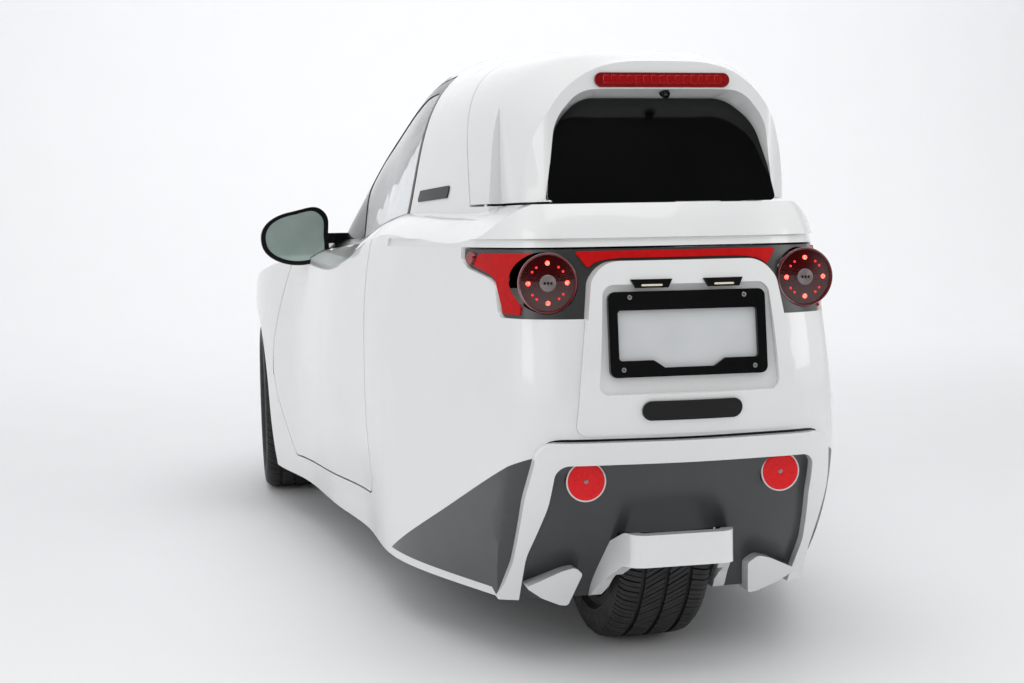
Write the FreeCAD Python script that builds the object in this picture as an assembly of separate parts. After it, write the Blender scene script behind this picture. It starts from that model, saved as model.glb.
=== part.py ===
import FreeCAD, Part
import math
import os
from FreeCAD import Vector

os.makedirs("parts", exist_ok=True)

# Three wheeled single-seat electric car, in millimetres.
# The front faces -Y, the car's left is +X, the floor is at Z = 0.

# Overall sizes
overall_length = 3100.0
body_width = 1500.0
overall_height = 1345.0
front_overhang = 580.0
rear_overhang = 460.0
front_track = 1280.0

# Walls and gaps
body_wall = 50.0
roof_wall = 34.0
glass_thickness = 5.0
glass_inset = 2.0
glass_gap = 1.0
shut_gap = 5.0
fit_gap = 0.3
cut_overrun = 60.0
door_flange = 30.0
flange_depth = 8.0

# Tyres and rims
front_tyre_diameter = 588.0
front_tyre_width = 195.0
rear_tyre_diameter = 596.0
rear_tyre_width = 205.0
rim_diameter = 457.0
rim_inset = 19.0
rim_shell = 7.0
rim_flange = 12.0
hub_diameter = 64.0
spoke_count = 5
spoke_depth = 26.0
rim_dish = 14.0
wide_inset = 14.0
wide_inner = 24.0
wide_outer = 66.0
slot_inset = 30.0
slot_inner = 7.0
slot_outer = 22.0
bead_inset = 22.0
wall_tuck = 4.0
wall_share = 0.45
tread_shoulder = 24.0
tread_drop = 7.0

# Front arches
arch_margin = 66.0
arch_depth = 270.0
arch_trail = 60.0
arch_reach = 90.0
arch_round_share = 0.92
liner_thickness = 5.0
liner_inset = 115.0
arm_window_half = 160.0

# Brakes, knuckles and front suspension
disc_diameter = 240.0
disc_thickness = 14.0
disc_stand = 36.0
hat_radius = 68.0
kingpin_inset = 78.0
knuckle_width = 46.0
knuckle_height = 190.0
stub_radius = 20.0
stub_inset = 8.0
caliper_length = 60.0
caliper_half_height = 46.0
caliper_outer = 16.0
caliper_inner = 22.0
caliper_cut = 2.0
disc_clearance = 3.0
caliper_arm_height = 40.0
eye_height = 14.0
eye_radius = 17.0
arm_radius = 7.0
arm_spread = 105.0
subframe_x = 255.0
subframe_y = 135.0
subframe_low = 174.2
subframe_high = 440.0
subframe_bar = 22.0
damper_inset = 130.0
damper_rod_radius = 14.0
damper_body_radius = 24.0
damper_overlap = 24.0
tower_reach = 40.0
tower_rise = 52.0
bridge_half = 60.0
bridge_radius = 10.0
running_gap = 0.3

# Floor, battery, drive unit and swing arm
floor_thickness = 34.0
panel_thickness = 20.0
firewall_gap = 14.0
drive_radius = 72.0
drive_gap = 8.0
swing_inset = 24.0
swing_thickness = 26.0
swing_height = 60.0
swing_front = 20.0
swing_rear = 30.0
axle_radius = 12.0
bracket_thickness = 18.0
bracket_height = 80.0
shock_radius = 20.0
shock_lean = 110.0
shock_inset = 60.0
shock_sink = 5.0
shock_seat_size = (48.0, 56.0, 36.0)
rear_tyre_clearance = 12.0

# Seat, dashboard, steering and mirrors
seat_width = 480.0
seat_edge = 30.0
head_rest_width = 240.0
column_radius = 24.0
column_length = 170.0
column_back = 30.0
column_tilt = 22.0
wheel_ring_radius = 175.0
wheel_grip_radius = 14.0
wheel_hub_radius = 45.0
wheel_hub_depth = 50.0
wheel_spoke_radius = 9.0
mirror_depth = 95.0
mirror_glass_sink = 4.0
mirror_rim_share = 0.88
mirror_arm_low = (490.0, -175.0, 865.0)
mirror_arm_high = (600.0, -125.0, 895.0)

# Hinges of the doors, hatch and bonnet
hinge_radius = 4.5
hinge_pin_radius = 2.5
hinge_clearance = 2.5
hinge_length = 50.0
hinge_hold = 14.0
hinge_leaf = 16.0
hinge_leaf_depth = 9.0
door_hinge_x = 708.0
door_hinge_y = -514.0
door_hinge_z = 470.0
hatch_hinge_y = 961.0
hatch_hinge_z = 1297.0
bonnet_hinge_y = -627.0
bonnet_hinge_z = 912.0

# Rear lamps, plate and bumper
lamp_diameter = 118.0
lamp_x = 263.0
lamp_z = 800.0
lamp_stand = 14.0
lamp_depth = 42.0
lamp_dome = 5.0
lamp_gap = 0.3
band_inset = 8.0
insert_stand = 4.0
marker_radius = 13.0
marker_y = 1235.0
marker_z = 846.0
lip_inset = 6.0
lip_z = 885.0
hood_stand = 26.0
recess_depth = 34.0
plate_tilt = 6.2
plate_z = 700.0
plate_frame_size = (316.0, 164.0, 11.0)
plate_frame_radius = 14.0
plate_size = (304.0, 152.0, 1.5)
plate_radius = 8.0
badge_size = (200.0, 38.0, 6.0)
badge_z = 556.0
badge_round_share = 0.49
quarter_stand = 3.0
reflector_diameter = 80.0
reflector_x = 199.0
reflector_z = 417.0
reflector_stand = 8.0
frame_stand = 22.0
guard_thickness = 24.0
guard_gap = 0.5
high_lamp_size = (280.0, 28.0, 60.0)
high_lamp_z = 1196.0
high_lamp_stand = 3.0
high_lamp_gap = 0.5

# Nose lamps and grille
lamp_join = 0.3
slat_count = 5
slat_size = 9.0

half_length = overall_length / 2
half_width = body_width / 2
front_axle_y = -half_length + front_overhang
rear_axle_y = half_length - rear_overhang
front_radius = front_tyre_diameter / 2
rear_radius = rear_tyre_diameter / 2
wheel_x = front_track / 2
arch_radius = front_radius + arch_margin
kingpin_x = wheel_x - kingpin_inset
far_x = half_width + cut_overrun
far_y = half_length + cut_overrun
far_z = overall_height + cut_overrun

# Each plan outline has a sharp corner at this place in its row, between the side and the tail
tail_corner = 12
# How much of the plate hood's stand each plan outline takes, from the lowest up
hood_fade_shares = [0, 0, 0, 0.45, 1, 1, 1]

# Plan outlines of the lower body from the middle of the nose round to the middle of the tail.
# Each row: height share, then 16 pairs of width share and length share.
plan_shares = [
    (0.104, [(0, -0.9), (0.4, -0.884), (0.747, -0.8), (0.9, -0.703), (0.94, -0.6),
             (0.94, -0.361), (0.853, -0.187), (0.763, 0.116), (0.691, 0.335), (0.664, 0.529),
             (0.567, 0.671), (0.487, 0.755), (0.44, 0.803), (0.373, 0.818), (0.2, 0.829), (0, 0.832)]),
    (0.223, [(0, -0.955), (0.427, -0.935), (0.787, -0.845), (0.94, -0.729), (0.984, -0.613),
             (0.963, -0.368), (0.873, -0.187), (0.787, 0.116), (0.713, 0.348), (0.671, 0.535),
             (0.583, 0.697), (0.504, 0.813), (0.46, 0.871), (0.38, 0.894), (0.2, 0.905), (0, 0.908)]),
    (0.335, [(0, -0.99), (0.44, -0.968), (0.813, -0.868), (0.963, -0.742), (1.0, -0.619),
             (0.967, -0.368), (0.88, -0.187), (0.803, 0.116), (0.727, 0.361), (0.677, 0.535),
             (0.583, 0.703), (0.5, 0.845), (0.451, 0.913), (0.367, 0.948), (0.2, 0.963), (0, 0.969)]),
    (0.446, [(0, -1.0), (0.44, -0.975), (0.813, -0.871), (0.963, -0.742), (1.0, -0.613),
             (0.963, -0.368), (0.877, -0.187), (0.807, 0.116), (0.729, 0.368), (0.673, 0.535),
             (0.576, 0.71), (0.488, 0.858), (0.433, 0.926), (0.349, 0.961), (0.2, 0.977), (0, 0.985)]),
    (0.55, [(0, -0.981), (0.413, -0.955), (0.773, -0.845), (0.933, -0.723), (0.989, -0.6),
            (0.949, -0.368), (0.864, -0.187), (0.797, 0.116), (0.723, 0.374), (0.66, 0.535),
            (0.56, 0.71), (0.469, 0.858), (0.416, 0.916), (0.336, 0.945), (0.2, 0.958), (0, 0.966)]),
    (0.654, [(0, -0.923), (0.373, -0.897), (0.693, -0.794), (0.853, -0.684), (0.92, -0.574),
             (0.896, -0.368), (0.827, -0.187), (0.763, 0.116), (0.693, 0.381), (0.635, 0.535),
             (0.549, 0.71), (0.455, 0.845), (0.4, 0.893), (0.327, 0.919), (0.2, 0.932), (0, 0.937)]),
    (0.729, [(0, -0.858), (0.333, -0.832), (0.613, -0.735), (0.773, -0.639), (0.84, -0.542),
             (0.827, -0.361), (0.78, -0.187), (0.72, 0.116), (0.653, 0.381), (0.58, 0.535),
             (0.487, 0.703), (0.407, 0.819), (0.36, 0.865), (0.3, 0.887), (0.2, 0.898), (0, 0.903)]),
]

# Heights of the bonnet, shoulders and rear deck.
# Columns: length share, then height shares at the width shares of deck_column_shares.
deck_column_shares = [0, 0.4, 0.6, 0.75, 1.07]
deck_shares = [
    (-1.05, [0.416, 0.401, 0.379, 0.349, 0.283]),
    (-0.935, [0.52, 0.507, 0.487, 0.461, 0.387]),
    (-0.806, [0.595, 0.584, 0.565, 0.539, 0.461]),
    (-0.613, [0.651, 0.641, 0.625, 0.604, 0.513]),
    (-0.387, [0.678, 0.669, 0.653, 0.632, 0.543]),
    (-0.194, [0.695, 0.686, 0.665, 0.636, 0.52]),
    (0.129, [0.7, 0.691, 0.668, 0.617, 0.476]),
    (0.419, [0.713, 0.709, 0.693, 0.599, 0.387]),
    (0.71, [0.713, 0.708, 0.617, 0.52, 0.335]),
    (0.903, [0.71, 0.697, 0.558, 0.476, 0.297]),
    (1.06, [0.706, 0.688, 0.53, 0.45, 0.27]),
]

# Cross sections of the cabin top.
# Columns: length share, then width share and height share at the foot, the waist, the pillar, the
# roof side, and last the height share of the roof's middle.
roof_shares = [
    (-0.42, [(0.44, 0.56), (0.4, 0.61), (0.333, 0.621), (0.187, 0.628)], 0.632),
    (-0.29, [(0.64, 0.56), (0.56, 0.64), (0.453, 0.678), (0.253, 0.7)], 0.71),
    (-0.123, [(0.733, 0.56), (0.675, 0.645), (0.63, 0.69), (0.393, 0.783)], 0.813),
    (0.026, [(0.72, 0.56), (0.628, 0.7), (0.523, 0.822), (0.32, 0.895)], 0.915),
    (0.168, [(0.7, 0.56), (0.593, 0.72), (0.467, 0.892), (0.28, 0.958)], 0.972),
    (0.339, [(0.673, 0.56), (0.567, 0.729), (0.424, 0.939), (0.253, 0.988)], 1.0),
    (0.516, [(0.62, 0.56), (0.509, 0.743), (0.39, 0.938), (0.267, 0.966)], 0.9755),
    (0.671, [(0.547, 0.56), (0.447, 0.743), (0.35, 0.926), (0.24, 0.95)], 0.956),
    (0.806, [(0.467, 0.56), (0.387, 0.743), (0.3, 0.896), (0.2, 0.929)], 0.938),
    (0.92, [(0.413, 0.56), (0.349, 0.743), (0.255, 0.872), (0.16, 0.902)], 0.912),
]


def height(share):
    return overall_height * share


def along(share):
    return half_length * share


def across(share):
    return half_width * share


def spline_edge(points):
    curve = Part.BSplineCurve()
    curve.interpolate(points)
    return curve.toShape()


def mirrored(shape):
    return shape.mirror(Vector(0, 0, 0), Vector(1, 0, 0))


def offset_outline(points, offset):
    """Moves the points of a plane outline to its inner side by the offset."""
    moved = []
    last = len(points) - 1
    for index, (u, v) in enumerate(points):
        before = points[index - 1] if index > 0 else (-points[1][0], points[1][1])
        after = points[index + 1] if index < last else (-points[-2][0], points[-2][1])
        du = after[0] - before[0]
        dv = after[1] - before[1]
        size = math.hypot(du, dv)
        moved.append((u - offset * dv / size, v + offset * du / size))
    return moved


def plan_wire(z, half_points):
    """A closed outline of two smooth curves that meet in a sharp corner on each side."""
    right = [Vector(x, y, z) for x, y in half_points]
    left = [Vector(-x, y, z) for x, y in half_points]
    rear = spline_edge(right[tail_corner:] + left[tail_corner:-1][::-1])
    front = spline_edge(left[1:tail_corner + 1][::-1] + right[:tail_corner + 1])
    return Part.Wire([rear, front])


def plan_solid(offset, bulge):
    """The lower body's outline, its sides moved in by the offset and out by the fading bulge."""
    wires = []
    for (share, pairs), fade in zip(plan_shares, hood_fade_shares):
        points = [(across(x), along(y)) for x, y in pairs]
        wires.append(plan_wire(height(share), offset_outline(points, offset - bulge * fade)))
    return Part.makeLoft(wires, True, False)


def deck_solid(drop):
    """All that lies under the bonnet, shoulders and rear deck, lowered by the drop."""
    wires = []
    for share, heights in deck_shares:
        y = along(share)
        half = [(across(c), height(h) - drop) for c, h in zip(deck_column_shares, heights)]
        points = [Vector(-x, y, z) for x, z in reversed(half[1:])] + [Vector(x, y, z) for x, z in half]
        top = spline_edge(points)
        low = -cut_overrun
        right_foot = Vector(points[-1].x, y, low)
        left_foot = Vector(points[0].x, y, low)
        side = Part.LineSegment(points[-1], right_foot).toShape()
        foot = Part.LineSegment(right_foot, left_foot).toShape()
        other = Part.LineSegment(left_foot, points[0]).toShape()
        wires.append(Part.Wire([top, side, foot, other]))
    return Part.makeLoft(wires, True, False)


def roof_solid(offset, drop):
    """The cabin top, its sides moved in by the offset and its foot lowered by the drop."""
    wires = []
    for share, pairs, crown in roof_shares:
        y = along(share)
        half = [(across(x), height(z)) for x, z in pairs] + [(0, height(crown))]
        half = offset_outline(half[::-1], -offset)[::-1]
        half[-1] = (0, height(crown) - offset)
        half[0] = (half[0][0], half[0][1] - drop)
        points = [Vector(x, y, z) for x, z in half] + [Vector(-x, y, z) for x, z in reversed(half[:-1])]
        top = spline_edge(points)
        foot = Part.LineSegment(points[-1], points[0]).toShape()
        wires.append(Part.Wire([top, foot]))
    return Part.makeLoft(wires, True, False)


def rounded_wire(points, radii, place):
    """A closed outline with round corners; place turns a plane point into a point in space."""
    edges = []
    starts = []
    ends = []
    middles = []
    count = len(points)
    for index in range(count):
        corner = Vector(points[index][0], points[index][1], 0)
        before = Vector(points[index - 1][0], points[index - 1][1], 0)
        after = Vector(points[(index + 1) % count][0], points[(index + 1) % count][1], 0)
        to_before = (before - corner).normalize()
        to_after = (after - corner).normalize()
        half_angle = to_before.getAngle(to_after) / 2
        radius = radii[index]
        if radius == 0 or math.cos(half_angle) < 0.01:
            starts.append(corner)
            ends.append(corner)
            middles.append(None)
            continue
        reach = radius / math.tan(half_angle)
        centre = corner + (to_before + to_after).normalize() * (radius / math.sin(half_angle))
        starts.append(corner + to_before * reach)
        ends.append(corner + to_after * reach)
        middles.append(centre + (corner - centre).normalize() * radius)
    for index in range(count):
        if middles[index] is not None:
            arc = Part.Arc(place(starts[index]), place(middles[index]), place(ends[index]))
            edges.append(arc.toShape())
        following = starts[(index + 1) % count]
        if (following - ends[index]).Length > 1e-6:
            edges.append(Part.LineSegment(place(ends[index]), place(following)).toShape())
    return Part.Wire(edges)


def side_prism(points, radii, low_x, high_x):
    """A side view outline of (y, z) points, drawn out along X."""
    wire = rounded_wire(points, radii, lambda p: Vector(low_x, p.x, p.y))
    return Part.Face(wire).extrude(Vector(high_x - low_x, 0, 0))


def front_prism(points, radii, low_y, high_y):
    """A front view outline of (x, z) points, drawn out along Y."""
    wire = rounded_wire(points, radii, lambda p: Vector(p.x, low_y, p.y))
    return Part.Face(wire).extrude(Vector(0, high_y - low_y, 0))


def plan_prism(points, radii, low_z, high_z):
    """A plan view outline of (x, y) points, drawn out along Z."""
    wire = rounded_wire(points, radii, lambda p: Vector(p.x, p.y, low_z))
    return Part.Face(wire).extrude(Vector(0, 0, high_z - low_z))


def rounded_slab(width, length, thickness, radius):
    """A flat plate with round corners, centred on the origin and standing on its plane."""
    x = width / 2
    y = length / 2
    return plan_prism([(-x, -y), (x, -y), (x, y), (-x, y)], [radius] * 4, 0, thickness)


def both_sides(points):
    """Completes the right half of an outline, listed from its lower end up, to both sides."""
    return points + [(-u, v) for u, v in reversed(points)]


def block(low, high):
    size = [b - a for a, b in zip(low, high)]
    return Part.makeBox(size[0], size[1], size[2], Vector(*low))


def rod(start, end, radius):
    way = end - start
    return Part.makeCylinder(radius, way.Length, start, way)


def largest(shape):
    return max(shape.Solids, key=lambda solid: solid.Volume)


def joined(shapes):
    whole = shapes[0]
    for shape in shapes[1:]:
        whole = whole.fuse(shape)
    return whole


def pair(shape):
    return Part.makeCompound([shape, mirrored(shape)])


def turned_about(shape):
    """The same piece for the other front wheel, turned half round."""
    other = shape.copy()
    other.rotate(Vector(0, front_axle_y, 0), Vector(0, 0, 1), 180)
    return other


def side_points(shares):
    return [(along(y), height(z)) for y, z in shares]


def front_points(shares):
    return [(across(x), height(z)) for x, z in shares]


def plan_points(shares):
    return [(across(x), along(y)) for x, y in shares]


def shrunk(points, gap):
    """A closed outline with every side moved in by the gap; the points run anticlockwise."""
    count = len(points)
    result = []
    for index in range(count):
        ax, ay = points[index - 1]
        bx, by = points[index]
        cx, cy = points[(index + 1) % count]
        first = Vector(bx - ax, by - ay, 0).normalize()
        second = Vector(cx - bx, cy - by, 0).normalize()
        first_in = Vector(-first.y, first.x, 0)
        second_in = Vector(-second.y, second.x, 0)
        bisector = (first_in + second_in).normalize()
        move = gap / bisector.dot(first_in)
        result.append((bx + bisector.x * move, by + bisector.y * move))
    return result


def smaller(radii, gap):
    return [max(radius - gap, 0) for radius in radii]


# Rear end of the cabin top: its plan outline and the slope of its window
cap_plan_shares = [(1.2, -1.1), (1.2, 0.7), (0.387, 0.742), (0.381, 0.835), (0.313, 0.87), (0.147, 0.877)]
cap_plan_radii = [0, 0, 0, 60.0, 30.0, 400.0]
cap_y = along(0.877)
window_foot_y = along(0.8794)
deck_z = height(0.706)
window_lean = math.tan(math.radians(19.0))

# Side view outlines of the panels, as length and height shares
door_shares = [(-0.213, 0.632), (-0.361, 0.349), (-0.213, 0.152), (0.413, 0.186), (0.416, 0.691),
               (0.452, 0.948), (0.339, 0.938), (0.168, 0.885), (0.058, 0.836), (-0.026, 0.783),
               (-0.123, 0.669)]
door_radii = [20.0, 200.0, 40.0, 60.0, 300.0, 20.0, 500.0, 500.0, 500.0, 300.0, 100.0]
window_shares = [(0.103, 0.648), (0.402, 0.699), (0.434, 0.917), (0.339, 0.916), (0.168, 0.862),
                 (0.052, 0.81), (0.006, 0.766)]
window_radii = [40.0, 12.0, 20.0, 400.0, 500.0, 200.0, 20.0]
frame_line_shares = [(-0.2, 0.62), (0.13, 0.643), (0.48, 0.698), (0.48, 1.02), (-0.2, 1.02)]
strip_shares = [(0.413, 0), (0.7, 0), (0.7, 1.05), (0.452, 1.05), (0.452, 0.94), (0.416, 0.691)]
front_shares = [(-1.1, -0.1), (-0.194, -0.1), (-0.194, 0.152), (-0.213, 0.3), (-0.213, 0.6),
                (-0.35, 0.665), (-0.42, 0.75), (-1.1, 0.75)]
hatch_shares = [(0.671, 0.708), (1.1, 0.708), (1.1, 1.1), (0.623, 1.1), (0.619, 0.95)]
band_hole_shares = [(0.772, 0.66), (0.775, 0.626), (0.795, 0.614), (0.848, 0.6), (0.862, 0.588),
                    (0.876, 0.5435), (1.1, 0.5435), (1.1, 0.66)]
band_radii = [0, 12.0, 40.0, 60.0, 30.0, 20.0, 0, 0]
band_top_share = 0.6425
bumper_shares = [(0.525, 0.119), (0.8, 0.119), (0.8, -0.1), (1.1, -0.1), (1.1, 0.3755),
                 (1.0, 0.3755), (0.898, 0.322)]
upper_shares = [(-0.5, 0.45), (0.38, 0.45), (0.425, 0.632), (0.465, 0.6455), (1.1, 0.6455),
                (1.1, 1.1), (-0.5, 1.1)]
upper_foot_share = 0.6455
quarter_shares = [(0.452, 0.721), (0.584, 0.725), (0.592, 0.746), (0.461, 0.741)]
quarter_radius = 6.0
red_side_shares = [(0.881, 0.549), (0.912, 0.549), (0.912, 0.559), (0.899, 0.573), (0.889, 0.594),
                   (0.899, 0.616), (0.925, 0.637), (0.817, 0.637), (0.801, 0.619), (0.844, 0.606),
                   (0.857, 0.598)]
red_side_radii = [3.0, 3.0, 6.0, 20.0, 25.0, 20.0, 4.0, 8.0, 6.0, 15.0, 15.0]
door_inner_x = across(0.2)

# Black surround of the windscreen, in plan
surround_shares = [(1.2, -0.6), (1.2, 0.4), (0.405, 0.4), (0.345, 0.27), (0.2, 0.185)]
surround_radii = [0, 0, 20.0, 150.0, 200.0]

# Windscreen front view outline, as width and height shares
screen_shares = [(0.56, 0.684), (0.493, 0.743), (0.44, 0.818), (0.38, 0.892), (0.32, 0.955)]
screen_radii = [30.0, 200.0, 400.0, 300.0, 60.0]
screen_top_y = along(0.135)

# Rear window and the scoop round it, as width and height shares
pane_shares = [(0.32, 0.7095), (0.308, 0.765), (0.283, 0.83), (0.205, 0.867)]
pane_radii = [12.0, 200.0, 100.0, 80.0]
scoop_wide_shares = [(0.36, 0.7075), (0.35, 0.77), (0.325, 0.84), (0.25, 0.885)]
scoop_depth = 130.0
scoop_start = 4.0

# Bonnet plan outline, as width and length shares
bonnet_shares = [(0.46, -0.875), (0.56, -0.62), (0.5, -0.405)]
bonnet_radii = [60.0, 300.0, 40.0]
bonnet_taper = 0.25
bonnet_low_share = 0.45
bonnet_mid_share = 0.57

# Rear view outlines of the plate hood, its recess and the plate frame's window
hood_shares = [(0.3, 0.378), (0.285, 0.46), (0.263, 0.545), (0.25, 0.598), (0.212, 0.6255)]
hood_radii = [20.0, 150.0, 200.0, 40.0, 60.0]
recess_shares = [(0.243, 0.437), (0.222, 0.592)]
recess_radii = [18.0, 24.0]
plate_window_shares = [(0.158, -0.396), (0.228, -0.305), (0.443, -0.305), (0.443, 0.28)]
plate_window_radii = [2.0, 3.0, 6.0, 6.0]
red_strip_shares = [(0.15, 0.629), (0.184, 0.628), (0.219, 0.625), (0.245, 0.616), (0.276, 0.6395)]
red_strip_radii = [0, 40.0, 40.0, 4.0, 4.0]

# White frame, wheel guard and fins of the bumper
bumper_frame_shares = [(0.447, -0.1), (0.447, 0.1), (0.425, 0.174), (0.419, 0.283), (0.392, 0.37)]
bumper_frame_radii = [0, 0, 200.0, 300.0, 40.0]
bumper_mouth_shares = [(0.393, -0.1), (0.393, 0.112), (0.394, 0.184), (0.359, 0.272), (0.349, 0.3365)]
bumper_mouth_radii = [0, 0, 150.0, 200.0, 28.0]
arch_mouth_shares = [(0.18, -0.1), (0.178, 0.118), (0.145, 0.155), (0.1, 0.184)]
arch_mouth_radii = [0, 0, 30.0, 30.0]
guard_plan_shares = [(0.2, 0.7), (0.195, 0.84), (0.135, 0.958)]
guard_plan_radii = [0, 120.0, 34.0]
guard_side_shares = [(0.8, 0.104), (0.835, 0.104), (0.877, 0.141), (0.925, 0.174), (1.0, 0.184),
                     (1.0, 0.226), (0.93, 0.226), (0.885, 0.2), (0.839, 0.135)]
guard_side_radii = [0, 30.0, 60.0, 40.0, 0, 0, 60.0, 60.0, 20.0]
fin_shares = [(0.262, 0.095), (0.285, 0.0965), (0.34, 0.112), (0.39, 0.134), (0.295, 0.16),
              (0.26, 0.165), (0.236, 0.152)]
fin_radii = [6.0, 30.0, 60.0, 5.0, 80.0, 14.0, 12.0]
fin_side_shares = [(0.8, 0.078), (0.835, 0.078), (0.9, 0.19), (0.868, 0.19)]

# Nose lamps and grille, as width and height shares
headlamp_shares = [(0.5, 0.45), (0.84, 0.475), (0.9, 0.58), (0.62, 0.53)]
headlamp_radii = [30.0, 40.0, 30.0, 60.0]
intake_shares = [(0.36, 0.17), (0.46, 0.315)]
intake_radii = [30.0, 30.0]
nose_depth_share = -0.5

# Inside the cabin, as length and height shares
tray_shares = [(0.387, 0.104), (0.402, 0.104), (0.402, 0.34), (0.52, 0.478), (1.1, 0.478),
               (1.1, 0.493), (0.51, 0.493), (0.387, 0.35)]
seat_base_shares = [(0.03, 0.2255), (0.36, 0.2255), (0.36, 0.33), (0.03, 0.33)]
seat_back_shares = [(0.25, 0.3303), (0.33, 0.3303), (0.45, 0.72), (0.4, 0.735)]
head_rest_shares = [(0.405, 0.7338), (0.45, 0.7203), (0.48, 0.84), (0.435, 0.85)]
dash_shares = [(-0.25, 0.43), (-0.18, 0.57), (-0.22, 0.62)]
dash_foot_share = 0.42
dash_top_share = 0.64
dash_radii = [0, 30.0, 40.0, 30.0, 0]
battery_width_share = 0.4
battery_shares = [(-0.16, 0.1293), (0.37, 0.225)]
column_shares = (-0.19, 0.53)

# A mirror's outline from behind, as width and height shares
mirror_shares = [(1.003, 0.6535), (0.987, 0.683), (0.928, 0.706), (0.851, 0.717), (0.78, 0.7205),
                 (0.749, 0.705), (0.744, 0.662), (0.755, 0.611), (0.787, 0.603), (0.933, 0.6045),
                 (0.989, 0.627)]
mirror_y = along(-0.068)
mirror_centre_shares = (0.873, 0.662)
mirror_section_shares = [(0, 1.0), (0.4, 0.97), (0.8, 0.72), (1.0, 0.4)]


def window_y(z):
    """Where the leaning rear window lies at a height."""
    return window_foot_y - (z - deck_z) * window_lean


def low_form(offset, drop):
    return plan_solid(offset, 0).common(deck_solid(drop))


def body_form():
    """The whole body's outside."""
    outline = both_sides(plan_points(cap_plan_shares))
    cap = plan_prism(outline, cap_plan_radii + cap_plan_radii[::-1], 0, far_z)
    return low_form(0, 0).fuse(roof_solid(0, 0).common(cap))


def leaning_slab(front, rear):
    """All between two planes beside the rear window's outer face."""
    points = [(window_y(0) + front, 0), (window_y(0) + rear, 0),
              (window_y(far_z) + rear, far_z), (window_y(far_z) + front, far_z)]
    return side_prism(points, [0] * 4, -far_x, far_x)


def cabin_space():
    """The hollow inside the body, with the rear wall leaning as the window does."""
    top = roof_solid(roof_wall, 0).common(leaning_slab(-far_y * 2, -roof_wall))
    return low_form(body_wall, roof_wall).fuse(top)


def side_cutter(shares, radii, low_x):
    return side_prism(side_points(shares), radii, low_x, far_x)


def rear_cutter(shares, radii, gap, low_y):
    """A rear view outline, completed to both sides and moved in by the gap, drawn out to the rear."""
    outline = shrunk(both_sides(front_points(shares)), gap)
    return front_prism(outline, smaller(radii + radii[::-1], gap), low_y, far_y)


def corner_block(first, second):
    low = [min(first[i], second[i]) for i in range(3)]
    high = [max(first[i], second[i]) for i in range(3)]
    return block(low, high)


def hinge_parts(centre, way, leaf_way):
    """A hinge on its axis: the moving knuckle with its leaf, the fixed pin with its lugs, and their pocket."""
    half = way * (hinge_length / 2)
    hold = way * (hinge_length / 2 + hinge_hold)
    room = way * (hinge_length / 2 + hinge_clearance)
    depth = way.cross(leaf_way) * hinge_leaf_depth
    bore = rod(centre - hold, centre + hold, hinge_pin_radius + fit_gap)
    leaf = corner_block(centre - half, centre + half + leaf_way * hinge_leaf + depth)
    knuckle = rod(centre - half, centre + half, hinge_radius).fuse(leaf).cut(bore)
    pin = rod(centre - hold, centre + hold, hinge_pin_radius)
    for side in (-1, 1):
        lug = corner_block(centre + room * side, centre + hold * side - leaf_way * hinge_leaf + depth)
        pin = pin.fuse(lug)
    pocket = rod(centre - room, centre + room, hinge_radius + hinge_clearance)
    across_way = leaf_way * (hinge_radius + hinge_clearance)
    inner_room = depth * (1 + hinge_clearance / hinge_leaf_depth)
    pocket = pocket.fuse(corner_block(centre - room - across_way, centre + room + across_way + inner_room))
    return knuckle, pin, pocket


body_outer = body_form()
shell = body_outer.cut(cabin_space())
side_shell = shell.common(block((door_inner_x, along(-0.45), 0), (far_x, along(0.5), far_z)))

# Doors with their frames and glass
door_cut = side_cutter(door_shares, door_radii, door_inner_x)
window_cut = side_cutter(window_shares, window_radii, door_inner_x)
door_form = side_prism(shrunk(side_points(door_shares), shut_gap), smaller(door_radii, shut_gap),
                       door_inner_x, far_x)
glass_form = side_prism(shrunk(side_points(window_shares), fit_gap), smaller(window_radii, fit_gap),
                        door_inner_x, far_x)
frame_form = side_cutter(frame_line_shares, [0] * 5, 0)
door_whole = side_shell.common(door_form).cut(window_cut)
flange_form = low_form(flange_depth, flange_depth).fuse(roof_solid(flange_depth, 0))
strip_outline = [(y - door_flange, z) for y, z in side_points(strip_shares)]
rear_strip = side_prism(strip_outline, [0] * 6, 0, far_x)
door_whole = door_whole.cut(flange_form.common(rear_strip))
door_frame = door_whole.common(frame_form)
door_skin = door_whole.cut(frame_form)
door_hinge = hinge_parts(Vector(door_hinge_x, door_hinge_y, door_hinge_z), Vector(0, 0, 1), Vector(0, 1, 0))
door_skin = door_skin.fuse(door_hinge[0])
glass_skin = roof_solid(glass_inset, 0).cut(roof_solid(glass_inset + glass_thickness, 0))
door_glass = glass_skin.common(glass_form)

# Windscreen
screen_outline = both_sides(front_points(screen_shares))
screen_radii_all = screen_radii + screen_radii[::-1]
screen_cut = front_prism(screen_outline, screen_radii_all, -far_y, screen_top_y)
screen_form = front_prism(shrunk(screen_outline, glass_gap), smaller(screen_radii_all, glass_gap),
                          -far_y, screen_top_y - glass_gap)
windscreen = glass_skin.common(screen_form)

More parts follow.
